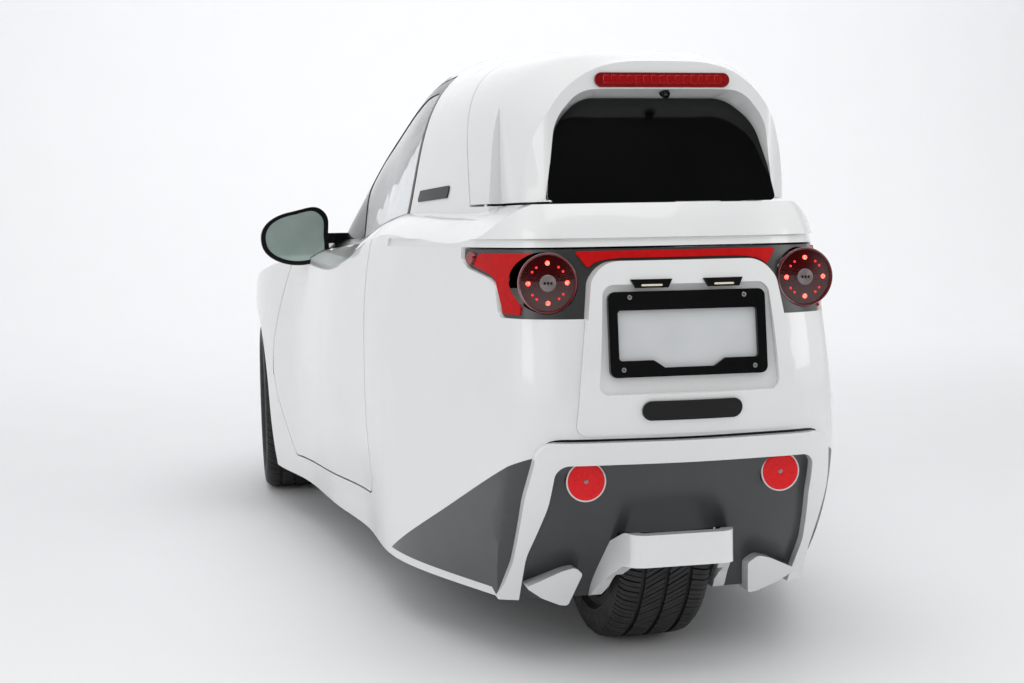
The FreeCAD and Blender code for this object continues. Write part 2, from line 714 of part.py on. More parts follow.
# Hatch with its window
hatch_form = side_prism(shrunk(side_points(hatch_shares), shut_gap), [0] * 5, -far_x, far_x)
hatch_cut = side_cutter(hatch_shares, [0] * 5, -far_x)
pane_outline = both_sides(front_points(pane_shares))
pane_radii_all = pane_radii + pane_radii[::-1]
pane_hole = rear_cutter(pane_shares, pane_radii, 0, 0)
rear_glass = rear_cutter(pane_shares, pane_radii, fit_gap, 0).common(leaning_slab(-glass_thickness, 0))
scoop_low = rounded_wire(shrunk(pane_outline, scoop_start), smaller(pane_radii_all, scoop_start),
                         lambda p: Vector(p.x, window_y(p.y), p.y))
scoop_high = rounded_wire(both_sides(front_points(scoop_wide_shares)), pane_radii_all,
                          lambda p: Vector(p.x, window_y(p.y) + scoop_depth, p.y))
scoop = Part.makeLoft([scoop_low, scoop_high], True, True)
rear_shell = shell.common(block((-far_x, along(0.6), height(0.69)), (far_x, far_y, far_z)))
hatch = rear_shell.common(hatch_form).cut(pane_hole).cut(scoop)
hatch_hinge = hinge_parts(Vector(0, hatch_hinge_y, hatch_hinge_z), Vector(-1, 0, 0), Vector(0, 1, 0))
hatch = hatch.fuse(hatch_hinge[0])


def flat_bar(size, stand, z, gap):
    """A bar with round ends, lying along X in the hatch's brow."""
    bar = rounded_slab(size[0] + gap * 2, size[1] + gap * 2, size[2], (size[1] + gap * 2) * badge_round_share)
    bar.rotate(Vector(0, 0, 0), Vector(1, 0, 0), 90)
    bar.translate(Vector(0, cap_y + stand, z))
    return bar


high_lamp = flat_bar(high_lamp_size, high_lamp_stand, high_lamp_z, 0)
hatch = hatch.cut(flat_bar(high_lamp_size, high_lamp_stand, high_lamp_z, high_lamp_gap))


def bonnet_tool(gap):
    """The bonnet's cutter: its front face leans forward as it rises, so that the lid lifts free."""
    wires = []
    for z in (height(bonnet_low_share), far_z):
        lean = bonnet_taper * (z - height(bonnet_mid_share))
        points = plan_points(bonnet_shares)
        points[0] = (points[0][0], points[0][1] - lean)
        outline = shrunk(both_sides(points), gap)
        radii = smaller(bonnet_radii + bonnet_radii[::-1], gap)
        wires.append(rounded_wire(outline, radii, lambda p, z=z: Vector(p.x, p.y, z)))
    return Part.makeLoft(wires, True, True)


# Front body with its arches, and the bonnet
front_form = side_cutter(front_shares, [0] * 8, -far_x)
front_shell = shell.common(front_form)
bonnet_hinge = hinge_parts(Vector(0, bonnet_hinge_y, bonnet_hinge_z), Vector(1, 0, 0), Vector(0, -1, 0))
bonnet = front_shell.common(bonnet_tool(shut_gap)).fuse(bonnet_hinge[0])
front_body = front_shell.cut(joined([bonnet_tool(0), door_cut, mirrored(door_cut)]))


def arch_prism(radius, low_x, high_x):
    """The front wheel opening: round over the wheel and trailing to the rear at its foot."""
    y = front_axle_y
    top = front_radius + radius
    points = [(y - radius, -cut_overrun), (y + radius + arch_trail, -cut_overrun), (y + radius, top),
              (y - radius, top)]
    corner = radius * arch_round_share
    return side_prism(points, [0, 0, corner, corner], low_x, high_x)


arches = arch_prism(arch_radius, half_width - arch_depth - arch_reach, far_x)
front_body = front_body.cut(arches).cut(mirrored(arches))
front_body = front_body.cut(joined([door_hinge[2], mirrored(door_hinge[2])]))
front_body = joined([front_body, door_hinge[1], mirrored(door_hinge[1])])

# Roof and pillars, windscreen surround, lower body, tail band and bumper
upper_form = side_cutter(upper_shares, [0] * 7, -far_x)
rest = shell.cut(front_form)
upper_whole = rest.common(upper_form)
upper_whole = upper_whole.cut(joined([door_cut, mirrored(door_cut), hatch_cut, screen_cut]))
lip_slab = block((-far_x, half_length / 2, 0), (far_x, far_y, lip_z)).cut(plan_solid(lip_inset, 0))
upper_whole = upper_whole.cut(lip_slab)
surround = plan_prism(both_sides(plan_points(surround_shares)), surround_radii + surround_radii[::-1],
                      0, far_z)
windscreen_frame = upper_whole.common(surround)
upper_body = upper_whole.cut(surround).cut(joined([hatch_hinge[2], bonnet_hinge[2]]))
upper_body = upper_body.fuse(hatch_hinge[1])
windscreen_frame = windscreen_frame.cut(bonnet_hinge[2])
front_body = front_body.cut(joined([bonnet_hinge[2], screen_cut])).fuse(bonnet_hinge[1])
low_rest = rest.cut(upper_form).cut(joined([door_cut, mirrored(door_cut)]))
band_cut = side_cutter(band_hole_shares, band_radii, -far_x)
bumper_cut = side_cutter(bumper_shares, [0] * 7, -far_x)
band_room = plan_solid(band_inset, 0).common(block((-far_x, 0, 0), (far_x, far_y, height(band_top_share))))
tail_band = low_rest.common(band_cut).common(band_room)
bumper = low_rest.common(bumper_cut)
lower_body = low_rest.cut(band_cut).cut(bumper_cut)
low_outer = low_form(0, 0)


def surface_y(x, z):
    """The tail's outer face at a place across and up."""
    ray = Part.LineSegment(Vector(x, 0, z), Vector(x, far_y, z)).toShape()
    return max(vertex.Y for vertex in low_outer.common(ray).Vertexes)


def barrel(x, z, diameter, start_y, end_y):
    return rod(Vector(x, start_y, z), Vector(x, end_y, z), diameter / 2)


def skin(inner, outer, bulge):
    """The layer between two offsets of the lower body's outline."""
    return plan_solid(inner, bulge).cut(plan_solid(outer, bulge))


# Rear lamps, red inserts and side markers
lamp_face_y = surface_y(lamp_x, lamp_z) + lamp_stand
tail_lamp = barrel(lamp_x, lamp_z, lamp_diameter, lamp_face_y - lamp_depth, lamp_face_y)
tail_lamp = tail_lamp.makeFillet(lamp_dome, [tail_lamp.Edges[0]])
lamp_hole = barrel(lamp_x, lamp_z, lamp_diameter + 2 * lamp_gap, 0, far_y)
lamp_holes = lamp_hole.fuse(mirrored(lamp_hole))
insert_skin = skin(band_inset - insert_stand, band_inset - fit_gap, 0)
red_side = insert_skin.common(side_cutter(red_side_shares, red_side_radii, across(0.1))).cut(lamp_hole)
red_strip = insert_skin.common(rear_cutter(red_strip_shares, red_strip_radii, 0, half_length / 2))
marker_form = rod(Vector(across(0.1), marker_y, marker_z), Vector(far_x, marker_y, marker_z), marker_radius)
marker_lamp = skin(0, band_inset - fit_gap, 0).common(marker_form)

# Plate hood that swells out of the tail, with the plate in its recess
proud = plan_solid(0, hood_stand).cut(plan_solid(body_wall, 0))
hood_cut = rear_cutter(hood_shares, hood_radii, 0, half_length / 2)
hood_form = rear_cutter(hood_shares, hood_radii, fit_gap, half_length / 2)
plate_lean = math.tan(math.radians(plate_tilt))
recess_y = surface_y(0, plate_z) + hood_stand - recess_depth
recess = rear_cutter(recess_shares, recess_radii, 0, half_length / 2)
recess_floor = [(recess_y + plate_lean * plate_z, 0), (far_y + far_z, 0), (far_y + far_z, far_z),
                (recess_y - plate_lean * (far_z - plate_z), far_z)]
recess = recess.common(side_prism(recess_floor, [0] * 4, -far_x, far_x))
plate_hood = proud.common(hood_form).cut(recess)


def on_plate(shape):
    """Lays a shape that is drawn flat, up along +Y and facing +Z, on the plate recess's floor."""
    shape.rotate(Vector(0, 0, 0), Vector(1, 0, 0), 90)
    shape.rotate(Vector(0, 0, 0), Vector(0, 0, 1), 180)
    shape.rotate(Vector(0, 0, 0), Vector(1, 0, 0), plate_tilt)
    shape.translate(Vector(0, recess_y, plate_z))
    return shape


frame_bar = rounded_slab(*plate_frame_size, plate_frame_radius)
frame_width, frame_height, frame_depth = plate_frame_size
window_points = [(frame_width * u, frame_height * v) for u, v in plate_window_shares]
window = plan_prism(both_sides(window_points), plate_window_radii + plate_window_radii[::-1],
                    0, frame_depth * 2)
plate_pocket = rounded_slab(plate_size[0] + 2 * fit_gap, plate_size[1] + 2 * fit_gap,
                            plate_size[2] + 2 * fit_gap, plate_radius)
frame_bar = frame_bar.cut(window).cut(plate_pocket)
frame_bar.translate(Vector(0, 0, fit_gap))
plate_frame = on_plate(frame_bar)
plate_blank = rounded_slab(*plate_size, plate_radius)
plate_blank.translate(Vector(0, 0, 2 * fit_gap))
number_plate = on_plate(plate_blank)
badge_form = rounded_slab(badge_size[0], badge_size[1], far_y, badge_size[1] * badge_round_share)
badge_form.rotate(Vector(0, 0, 0), Vector(1, 0, 0), 90)
badge_form.translate(Vector(0, far_y, badge_z))
tail_badge = skin(-badge_size[2], -fit_gap, hood_stand).common(badge_form)
quarter_form = side_cutter(quarter_shares, [quarter_radius] * 4, across(0.1))
quarter_badge = roof_solid(-quarter_stand, 0).cut(roof_solid(-fit_gap, 0)).common(quarter_form)
tail_band = tail_band.cut(joined([hood_cut, lamp_holes]))
lower_body = lower_body.cut(hood_cut)

# Bumper with its reflectors, frame, wheel guard and fins
reflector_y = surface_y(reflector_x, reflector_z)
reflector_back = reflector_y - reflector_stand
reflector = barrel(reflector_x, reflector_z, reflector_diameter, reflector_back, reflector_y + reflector_stand)
reflector_hole = barrel(reflector_x, reflector_z, reflector_diameter + 2 * fit_gap,
                        reflector_back - fit_gap, far_y)
clear_half = rear_tyre_width / 2 + rear_tyre_clearance
rear_clear = rod(Vector(-clear_half, rear_axle_y, rear_radius), Vector(clear_half, rear_axle_y, rear_radius),
                 rear_radius + rear_tyre_clearance)
ring = rear_cutter(bumper_frame_shares, bumper_frame_radii, 0, half_length / 2)
mouth = rear_cutter(bumper_mouth_shares, bumper_mouth_radii, 0, 0)
bumper_frame = skin(-frame_stand, -fit_gap, 0).common(ring).cut(mouth)
body_skin = plan_solid(-fit_gap, 0)
guard_seat = plan_solid(-guard_gap, 0)
guard_outline = both_sides(plan_points(guard_plan_shares))
guard_radii = guard_plan_radii + guard_plan_radii[::-1]
guard = plan_prism(guard_outline, guard_radii, 0, far_z)
guard_inside = plan_prism(shrunk(guard_outline, guard_thickness), smaller(guard_radii, guard_thickness),
                          0, far_z)
guard_profile = side_cutter(guard_side_shares, guard_side_radii, -far_x)
guard_box = block((-far_x, rear_axle_y, height(0.104)), (far_x, far_y, far_z))
rear_arch = guard.cut(guard_inside).common(guard_profile).common(guard_box).cut(guard_seat).cut(rear_clear)
fin = front_prism(front_points(fin_shares), fin_radii, half_length / 2, far_y)
fin = fin.common(side_cutter(fin_side_shares, [0] * 4, 0)).cut(body_skin)
arch_mouth = rear_cutter(arch_mouth_shares, arch_mouth_radii, 0, 0)
bumper = bumper.cut(joined([arch_mouth, rear_clear, reflector_hole, mirrored(reflector_hole)]))
lower_body = lower_body.cut(rear_clear)

# Headlamps and grille
nose_y = along(nose_depth_share)
headlamp_cut = front_prism(front_points(headlamp_shares), headlamp_radii, -far_y, nose_y)
headlamp_form = front_prism(shrunk(front_points(headlamp_shares), lamp_join),
                            smaller(headlamp_radii, lamp_join), -far_y, nose_y)
nose_shell = front_shell.common(block((-far_x, -far_y, 0), (far_x, nose_y, far_z)))
headlamp = nose_shell.common(headlamp_form)
intake_outline = both_sides(front_points(intake_shares))
intake_cut = front_prism(intake_outline, intake_radii + intake_radii[::-1], -far_y, nose_y)
intake_form = front_prism(shrunk(intake_outline, fit_gap), smaller(intake_radii * 2, fit_gap), -far_y, nose_y)
grille_block = nose_shell.common(intake_form)
slots = []
intake_low = height(intake_shares[0][1])
intake_high = height(intake_shares[1][1])
pitch = (intake_high - intake_low) / slat_count
for index in range(slat_count):
    low = intake_low + index * pitch + slat_size / 2 + (slat_size if index == 0 else 0)
    high = intake_low + (index + 1) * pitch - slat_size / 2 - (slat_size if index == slat_count - 1 else 0)
    for side in (-1, 1):
        near = side * slat_size
        far = side * (across(intake_shares[0][0]) - slat_size)
        slots.append(block((min(near, far), -far_y, low), (max(near, far), nose_y, high)))
front_grille = grille_block.cut(joined(slots))
front_body = front_body.cut(joined([headlamp_cut, mirrored(headlamp_cut), intake_cut]))


# Wheels: each is turned about X at the origin, with its outer side to +X.
def turned(points):
    """A ring of (x, radius) points turned about X."""
    wire = Part.makePolygon([Vector(x, 0, r) for x, r in points + points[:1]])
    return Part.Face(wire).revolve(Vector(0, 0, 0), Vector(1, 0, 0), 360)


def make_tyre(width, diameter):
    half = width / 2
    outer_r = diameter / 2
    bead_r = rim_diameter / 2 - rim_flange
    bead_half = half - bead_inset
    bead_top = rim_diameter / 2 + fit_gap
    wall_r = bead_top + (outer_r - bead_top) * wall_share
    side = [(bead_half, bead_r), (bead_half, bead_top), (half - wall_tuck, (bead_top + wall_r) / 2),
            (half, wall_r), (half - wall_tuck, (wall_r + outer_r) / 2),
            (half - tread_shoulder / 2, outer_r - tread_drop * 2),
            (half - tread_shoulder, outer_r - tread_drop), (half / 2, outer_r - tread_drop / 4)]
    other_side = [(-x, r) for x, r in reversed(side)]
    return turned(side + [(0, outer_r)] + other_side)


def rim_window(inner_r, outer_r, inner_half, outer_half, radius):
    """A rounded opening between spokes, wider at its outer end."""
    points = [(-inner_half, inner_r), (inner_half, inner_r), (outer_half, outer_r), (-outer_half, outer_r)]
    return side_prism(points, [radius] * 4, -far_x, far_x)


def make_rim(width, face_x, bore):
    half = width / 2 - bead_inset
    seat_r = rim_diameter / 2 - rim_flange - fit_gap
    well_r = seat_r - rim_shell
    edge_r = rim_diameter / 2
    lip = rim_flange / 2
    hub_r = hub_diameter
    back_x = face_x - spoke_depth
    wheel = turned([(back_x - rim_dish, bore), (face_x - rim_dish, bore), (face_x - rim_dish, hub_r),
                    (face_x, well_r), (half + lip, well_r), (half + lip, edge_r),
                    (half + fit_gap, edge_r), (half + fit_gap, seat_r), (-half - fit_gap, seat_r),
                    (-half - fit_gap, edge_r), (-half - lip, edge_r), (-half - lip, well_r),
                    (back_x, well_r), (back_x - rim_dish, hub_r)])
    wide = rim_window(hub_r + wide_inset, well_r - wide_inset, wide_inner, wide_outer, wide_inner * 0.9)
    slot = rim_window(hub_r + slot_inset, well_r - wide_inset, slot_inner, slot_outer, slot_inner * 0.9)
    for index in range(spoke_count):
        for window, share in ((wide, 0), (slot, 0.5)):
            opening = window.copy()
            opening.rotate(Vector(0, 0, 0), Vector(1, 0, 0), 360.0 / spoke_count * (index + share))
            wheel = wheel.cut(opening)
    return wheel


def placed(shape, x, y, z):
    moved = shape.copy()
    moved.translate(Vector(x, y, z))
    return moved


rim_face_x = front_tyre_width / 2 - rim_inset
front_tyre = placed(make_tyre(front_tyre_width, front_tyre_diameter), wheel_x, front_axle_y, front_radius)
front_rim = placed(make_rim(front_tyre_width, rim_face_x, hub_diameter / 4), wheel_x, front_axle_y, front_radius)
rear_tyre = placed(make_tyre(rear_tyre_width, rear_tyre_diameter), 0, rear_axle_y, rear_radius)
rear_rim = make_rim(rear_tyre_width, spoke_depth / 2 + rim_dish, axle_radius + fit_gap)
rear_rim = placed(rear_rim, 0, rear_axle_y, rear_radius)


def across_rod(x0, x1, radius):
    """A rod on the front axle's line."""
    return rod(Vector(x0, front_axle_y, front_radius), Vector(x1, front_axle_y, front_radius), radius)


# Brake disc with its hat, on the wheel; the knuckle with its stub axle and caliper
rim_back_x = wheel_x + rim_face_x - spoke_depth - rim_dish
disc_x = rim_back_x - disc_stand
disc_back_x = disc_x + disc_thickness
stub_end = rim_back_x - stub_inset
disc_bore = across_rod(disc_x - cut_overrun, stub_end + running_gap, stub_radius + running_gap)
brake_disc = across_rod(disc_x, disc_back_x, disc_diameter / 2).fuse(across_rod(disc_x, rim_back_x, hat_radius))
brake_disc = brake_disc.cut(disc_bore)
half_block = knuckle_width / 2
upright = block((kingpin_x - half_block, front_axle_y - half_block, front_radius - knuckle_height / 2),
                (kingpin_x + half_block, front_axle_y + half_block, front_radius + knuckle_height / 2))
caliper_y = front_axle_y + disc_diameter / 2 + caliper_outer
caliper = block((disc_x - caliper_inner, caliper_y - caliper_length, front_radius - caliper_half_height),
                (disc_back_x + caliper_outer, caliper_y, front_radius + caliper_half_height))
caliper = caliper.cut(across_rod(disc_x - caliper_cut, disc_back_x + caliper_cut, disc_diameter / 2 + disc_clearance))
caliper = caliper.cut(across_rod(disc_x - far_x, disc_x + far_x, hat_radius + disc_clearance))
caliper_arm = block((kingpin_x, front_axle_y, front_radius - caliper_arm_height / 2),
                    (disc_x - caliper_inner / 2, caliper_y - caliper_inner, front_radius + caliper_arm_height / 2))
caliper_arm = caliper_arm.cut(across_rod(disc_x - caliper_cut, far_x, disc_diameter))
knuckle = joined([upright, across_rod(kingpin_x, stub_end, stub_radius), caliper_arm, caliper])

lower_eye_z = front_radius - knuckle_height / 2 - running_gap - eye_height
upper_eye_z = front_radius + knuckle_height / 2 + running_gap


def wishbone(eye_z):
    centre_z = eye_z + eye_height / 2
    eye = Vector(kingpin_x, front_axle_y, eye_z)
    arms = [rod(eye, eye + Vector(0, 0, eye_height), eye_radius)]
    for side in (-1, 1):
        start = Vector(kingpin_x - eye_radius / 2, front_axle_y, centre_z)
        end = Vector(subframe_x - subframe_bar / 2, front_axle_y + side * arm_spread, centre_z)
        arms.append(rod(start, end, arm_radius))
    return joined(arms)


side_low = (subframe_x - subframe_bar, front_axle_y - subframe_y, subframe_low)
side_high = (subframe_x, front_axle_y + subframe_y, subframe_high)
side_frame = block(side_low, side_high)
window_low = (side_low[0] - subframe_bar, side_low[1] + subframe_bar, side_low[2] + subframe_bar * 2)
window_high = (side_high[0] + subframe_bar, side_high[1] - subframe_bar, side_high[2] - subframe_bar * 2)
side_frame = side_frame.cut(block(window_low, window_high))
cross_bars = []
bar_end = subframe_x - subframe_bar / 2
for y in (side_low[1], side_high[1] - subframe_bar):
    for z in (subframe_low, subframe_high - subframe_bar):
        cross_bars.append(block((-bar_end, y, z), (bar_end, y + subframe_bar, z + subframe_bar)))
damper_foot = Vector(kingpin_x - damper_inset, front_axle_y, lower_eye_z + eye_height / 2)
damper_top = Vector(subframe_x + arm_radius, front_axle_y, subframe_high + tower_reach)
damper_middle = (damper_foot + damper_top) * 0.5
damper_way = (damper_top - damper_foot).normalize()
damper = rod(damper_foot, damper_middle, damper_rod_radius)
damper = damper.fuse(rod(damper_middle - damper_way * damper_overlap, damper_top, damper_body_radius))
tower = block((subframe_x - subframe_bar, front_axle_y - tower_reach, subframe_high - subframe_bar),
              (subframe_x + tower_reach, front_axle_y + tower_reach, subframe_high + tower_rise))
bridge_way = Vector(0, bridge_half, 0)
foot_bridge = rod(damper_foot - bridge_way, damper_foot + bridge_way, bridge_radius)
half_suspension = joined([side_frame, wishbone(lower_eye_z), wishbone(upper_eye_z), foot_bridge, damper, tower])
front_suspension = joined([half_suspension, mirrored(half_suspension)] + cross_bars)

# Floor, firewall, wheel housings and rear tray, all held inside the body's walls
inner_wall = low_form(body_wall + fit_gap, roof_wall + fit_gap)
floor_low = height(0.104)
firewall_y = front_axle_y + arch_radius + arch_trail + firewall_gap
liner_x = half_width - arch_depth - liner_inset
tray_y = along(tray_shares[0][0])
floor_plan = [(liner_x, along(-0.86)), (liner_x, firewall_y), (far_x, firewall_y), (far_x, tray_y - fit_gap)]
floor_form = plan_prism(both_sides(floor_plan), [0] * 8, floor_low, floor_low + floor_thickness)
wall_form = block((-far_x, firewall_y, floor_low), (far_x, firewall_y + panel_thickness, far_z))
floor_tray = inner_wall.common(floor_form.fuse(wall_form))
rear_tray = inner_wall.common(side_cutter(tray_shares, [0] * 8, -far_x))
liner = arch_prism(arch_radius + liner_thickness, liner_x, far_x)
liner = liner.cut(arch_prism(arch_radius, liner_x + liner_thickness, far_x))
arm_window = block((0, front_axle_y - arm_window_half, 0),
                   (liner_x + 2 * liner_thickness, front_axle_y + arm_window_half, height(0.4)))
liner = liner.cut(arm_window).common(inner_wall)

# Battery, drive unit and rear swing arm with its dampers
battery_half = across(battery_width_share)
battery_low, battery_high = side_points(battery_shares)
battery = block((-battery_half, battery_low[0], floor_low + floor_thickness),
                (battery_half, battery_high[0], battery_high[1]))
drive_y = rear_axle_y - rear_radius - rear_tyre_clearance - drive_radius - drive_gap
arm_x = rear_tyre_width / 2 + swing_inset
arm_half = swing_thickness / 2
drive_half = arm_x - arm_half - fit_gap
drive_unit = rod(Vector(-drive_half, drive_y, rear_radius), Vector(drive_half, drive_y, rear_radius), drive_radius)
arm = block((arm_x - arm_half, drive_y - swing_front, rear_radius - swing_height / 2),
            (arm_x + arm_half, rear_axle_y + swing_rear, rear_radius + swing_height / 2))
axle = rod(Vector(-arm_x, rear_axle_y, rear_radius), Vector(arm_x, rear_axle_y, rear_radius), axle_radius)
bracket_x = arm_x + arm_half
tray_face_y = along(tray_shares[1][0]) + fit_gap
tray_low_z = height(tray_shares[3][1]) - fit_gap
bracket = block((bracket_x, tray_face_y, rear_radius - bracket_height / 2),
                (bracket_x + bracket_thickness, drive_y + swing_rear, rear_radius + bracket_height / 2))
shock_y = rear_axle_y - shock_inset
seat_x, seat_y, seat_z = shock_seat_size
shock = rod(Vector(arm_x, shock_y - shock_lean, rear_radius + swing_height / 2 - shock_sink),
            Vector(arm_x, shock_y, tray_low_z - seat_z / 2), shock_radius)
shock_seat = block((arm_x - seat_x / 2, shock_y - seat_y / 2, tray_low_z - seat_z),
                   (arm_x + seat_x / 2, shock_y + seat_y / 2, tray_low_z))
half_arm = joined([arm, bracket, shock, shock_seat])
swing_arm = joined([half_arm, mirrored(half_arm), axle])

# Seat, dashboard and steering wheel
seat_half = seat_width / 2
seat_base = side_prism(side_points(seat_base_shares), [0] * 4, -seat_half, seat_half)
seat_top = [edge for edge in seat_base.Edges if edge.BoundBox.ZMin > height(seat_base_shares[2][1]) - fit_gap]
seat_base = seat_base.makeFillet(seat_edge, seat_top)
seat_back = side_prism(side_points(seat_back_shares), [20.0, 20.0, seat_edge, seat_edge], -seat_half, seat_half)
head_rest = side_prism(side_points(head_rest_shares), [seat_edge / 2] * 4,
                       -head_rest_width / 2, head_rest_width / 2)
dash_y = firewall_y + panel_thickness + fit_gap
dash_points = [(dash_y, height(dash_foot_share))] + side_points(dash_shares) + [(dash_y, height(dash_top_share))]
dashboard = side_prism(dash_points, dash_radii, -far_x, far_x).common(inner_wall)
tilt = math.radians(column_tilt)
column_way = Vector(0, math.cos(tilt), math.sin(tilt))
drop_way = Vector(0, math.sin(tilt), -math.cos(tilt))
column_low = Vector(0, along(column_shares[0]), height(column_shares[1]))
column_end = column_low + column_way * (column_length - column_back)
dashboard = dashboard.fuse(rod(column_low - column_way * column_back, column_end, column_radius))
wheel_centre = column_end + column_way * (wheel_hub_depth - wheel_grip_radius + wheel_hub_radius / 11.25)
hub_start = column_end + column_way * fit_gap
steering_hub = rod(hub_start, hub_start + column_way * wheel_hub_depth, wheel_hub_radius)
spoke_way = Vector(wheel_ring_radius - wheel_grip_radius / 2, 0, 0)
cross_spoke = rod(wheel_centre - spoke_way, wheel_centre + spoke_way, wheel_spoke_radius)
lower_spoke = rod(wheel_centre, wheel_centre + drop_way * spoke_way.x, wheel_spoke_radius)
steering_ring = Part.makeTorus(wheel_ring_radius, wheel_grip_radius, wheel_centre, column_way)
steering_wheel = joined([steering_hub, cross_spoke, lower_spoke, steering_ring])


def mirror_wire(y, scale):
    """A mirror's outline at a place along the car, drawn in towards its middle by the scale."""
    centre_x = across(mirror_centre_shares[0])
    centre_z = height(mirror_centre_shares[1])
    points = []
    for x, z in front_points(mirror_shares):
        points.append(Vector(centre_x + (x - centre_x) * scale, y, centre_z + (z - centre_z) * scale))
    curve = Part.BSplineCurve()
    curve.interpolate(Points=points, PeriodicFlag=True)
    return Part.Wire([curve.toShape()])


# Mirrors with a recess for the glass
mirror_wires = [mirror_wire(mirror_y - mirror_depth * depth, scale) for depth, scale in mirror_section_shares]
mirror_left = Part.makeLoft(mirror_wires, True, False)
mirror_left = mirror_left.fuse(block(mirror_arm_low, mirror_arm_high))
glass_room = Part.Face(mirror_wire(mirror_y - mirror_glass_sink, mirror_rim_share))
mirror_left = mirror_left.cut(glass_room.extrude(Vector(0, cut_overrun, 0)))
mirror_left = mirror_left.cut(roof_solid(-fit_gap, 0)).cut(low_form(-fit_gap, -fit_gap))
mirror_left = largest(mirror_left)

nodes = {
    "front_body": front_body, "upper_body": upper_body, "windscreen_frame": windscreen_frame,
    "lower_body": lower_body, "tail_band": tail_band, "bumper_panel": bumper,
    "bumper_frame": bumper_frame, "rear_arch_hood": rear_arch, "bumper_fins": pair(fin),
    "reflectors": pair(reflector), "plate_hood": plate_hood, "plate_frame": plate_frame,
    "number_plate": number_plate, "tail_badge": tail_badge, "quarter_badges": pair(quarter_badge),
    "tail_lamps": pair(tail_lamp), "marker_lamps": pair(marker_lamp),
    "tail_inserts": Part.makeCompound([red_side, mirrored(red_side), red_strip]),
    "bonnet": bonnet, "door_left": door_skin, "door_right": mirrored(door_skin),
    "door_frame_left": door_frame, "door_frame_right": mirrored(door_frame),
    "door_glass_left": door_glass, "door_glass_right": mirrored(door_glass),
    "mirror_left": mirror_left, "mirror_right": mirrored(mirror_left),
    "windscreen": windscreen, "hatch": hatch, "rear_glass": rear_glass, "high_brake_lamp": high_lamp,
    "headlamps": pair(headlamp), "front_grille": front_grille,
    "front_tyre_left": front_tyre, "front_tyre_right": mirrored(front_tyre),
    "front_rim_left": front_rim, "front_rim_right": turned_about(front_rim),
    "rear_tyre": rear_tyre, "rear_rim": rear_rim,
    "brake_disc_left": brake_disc, "brake_disc_right": mirrored(brake_disc),
    "knuckle_left": knuckle, "knuckle_right": mirrored(knuckle),
    "front_suspension": front_suspension, "floor_tray": floor_tray, "rear_tray": rear_tray,
    "wheel_housings": pair(liner), "battery": battery, "drive_unit": drive_unit,
    "swing_arm": swing_arm, "seat_base": seat_base,
    "seat_back": Part.makeCompound([seat_back, head_rest]),
    "dashboard": dashboard, "steering_wheel": steering_wheel,
}
for name, shape in nodes.items():
    shape.exportStep("parts/" + name + ".step")
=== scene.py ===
import bpy
import bmesh
import math
from mathutils import Vector, Matrix
from mathutils.bvhtree import BVHTree


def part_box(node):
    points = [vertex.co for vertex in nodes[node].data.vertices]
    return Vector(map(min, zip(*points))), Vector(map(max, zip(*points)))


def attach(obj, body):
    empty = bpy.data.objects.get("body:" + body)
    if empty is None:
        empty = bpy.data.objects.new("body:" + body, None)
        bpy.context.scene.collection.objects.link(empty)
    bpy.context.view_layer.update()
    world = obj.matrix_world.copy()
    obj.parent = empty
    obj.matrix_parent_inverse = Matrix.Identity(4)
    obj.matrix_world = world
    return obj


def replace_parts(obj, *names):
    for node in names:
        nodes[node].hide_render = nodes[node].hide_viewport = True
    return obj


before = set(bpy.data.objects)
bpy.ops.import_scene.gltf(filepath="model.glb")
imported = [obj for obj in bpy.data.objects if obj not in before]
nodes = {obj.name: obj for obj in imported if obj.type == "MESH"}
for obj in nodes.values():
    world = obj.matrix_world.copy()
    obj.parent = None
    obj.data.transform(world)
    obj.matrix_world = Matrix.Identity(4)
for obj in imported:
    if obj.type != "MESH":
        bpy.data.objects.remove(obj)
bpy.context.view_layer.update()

scene = bpy.context.scene
weldGap = 0.00002
backwards, forwards, upwards, origin = Vector((0, 1, 0)), Vector((0, -1, 0)), Vector((0, 0, 1)), Vector((0, 0, 0))


def addObject(name, data):
    thing = bpy.data.objects.new(name, data)
    scene.collection.objects.link(thing)
    return thing


# Camera, at the photograph's angle
cameraSpec = {
    "place": (0.885, 4.108, 0.919),
    "yaw": 11.71,
    "pitch": 4.81,
    "roll": -0.97,
    "lens": 50.0,
    "sensor": 36.0,
    "clipEnd": 100.0,
}


def makeCamera(spec):
    data = bpy.data.cameras.new("photoCamera")
    data.lens = spec["lens"]
    data.sensor_width = spec["sensor"]
    data.clip_end = spec["clipEnd"]
    yaw, pitch, roll = (math.radians(spec[k]) for k in ("yaw", "pitch", "roll"))
    ahead = Vector((-math.sin(yaw) * math.cos(pitch), -math.cos(yaw) * math.cos(pitch), -math.sin(pitch)))
    right = ahead.cross(upwards).normalized()
    up = right.cross(ahead)
    turnedRight = right * math.cos(roll) + up * math.sin(roll)
    turnedUp = up * math.cos(roll) - right * math.sin(roll)
    camera = addObject("photoCamera", data)
    basis = Matrix((turnedRight, turnedUp, -ahead)).transposed()
    camera.matrix_world = Matrix.Translation(spec["place"]) @ basis.to_4x4()
    scene.camera = camera


makeCamera(cameraSpec)
print("camera made")


# Helpers for all node trees
def wire(tree, *steps):
    # Links, each given as a node and its output, then a node and its input
    for source, output, target, entry in steps:
        tree.links.new(source.outputs[output], target.inputs[entry])


def setInputs(node, **values):
    # Values for a node's sockets by name, with _ for a space
    for label, value in values.items():
        node.inputs[label.replace("_", " ")].default_value = value


def addNodes(tree, *kinds):
    return [tree.nodes.new(kind) for kind in kinds]


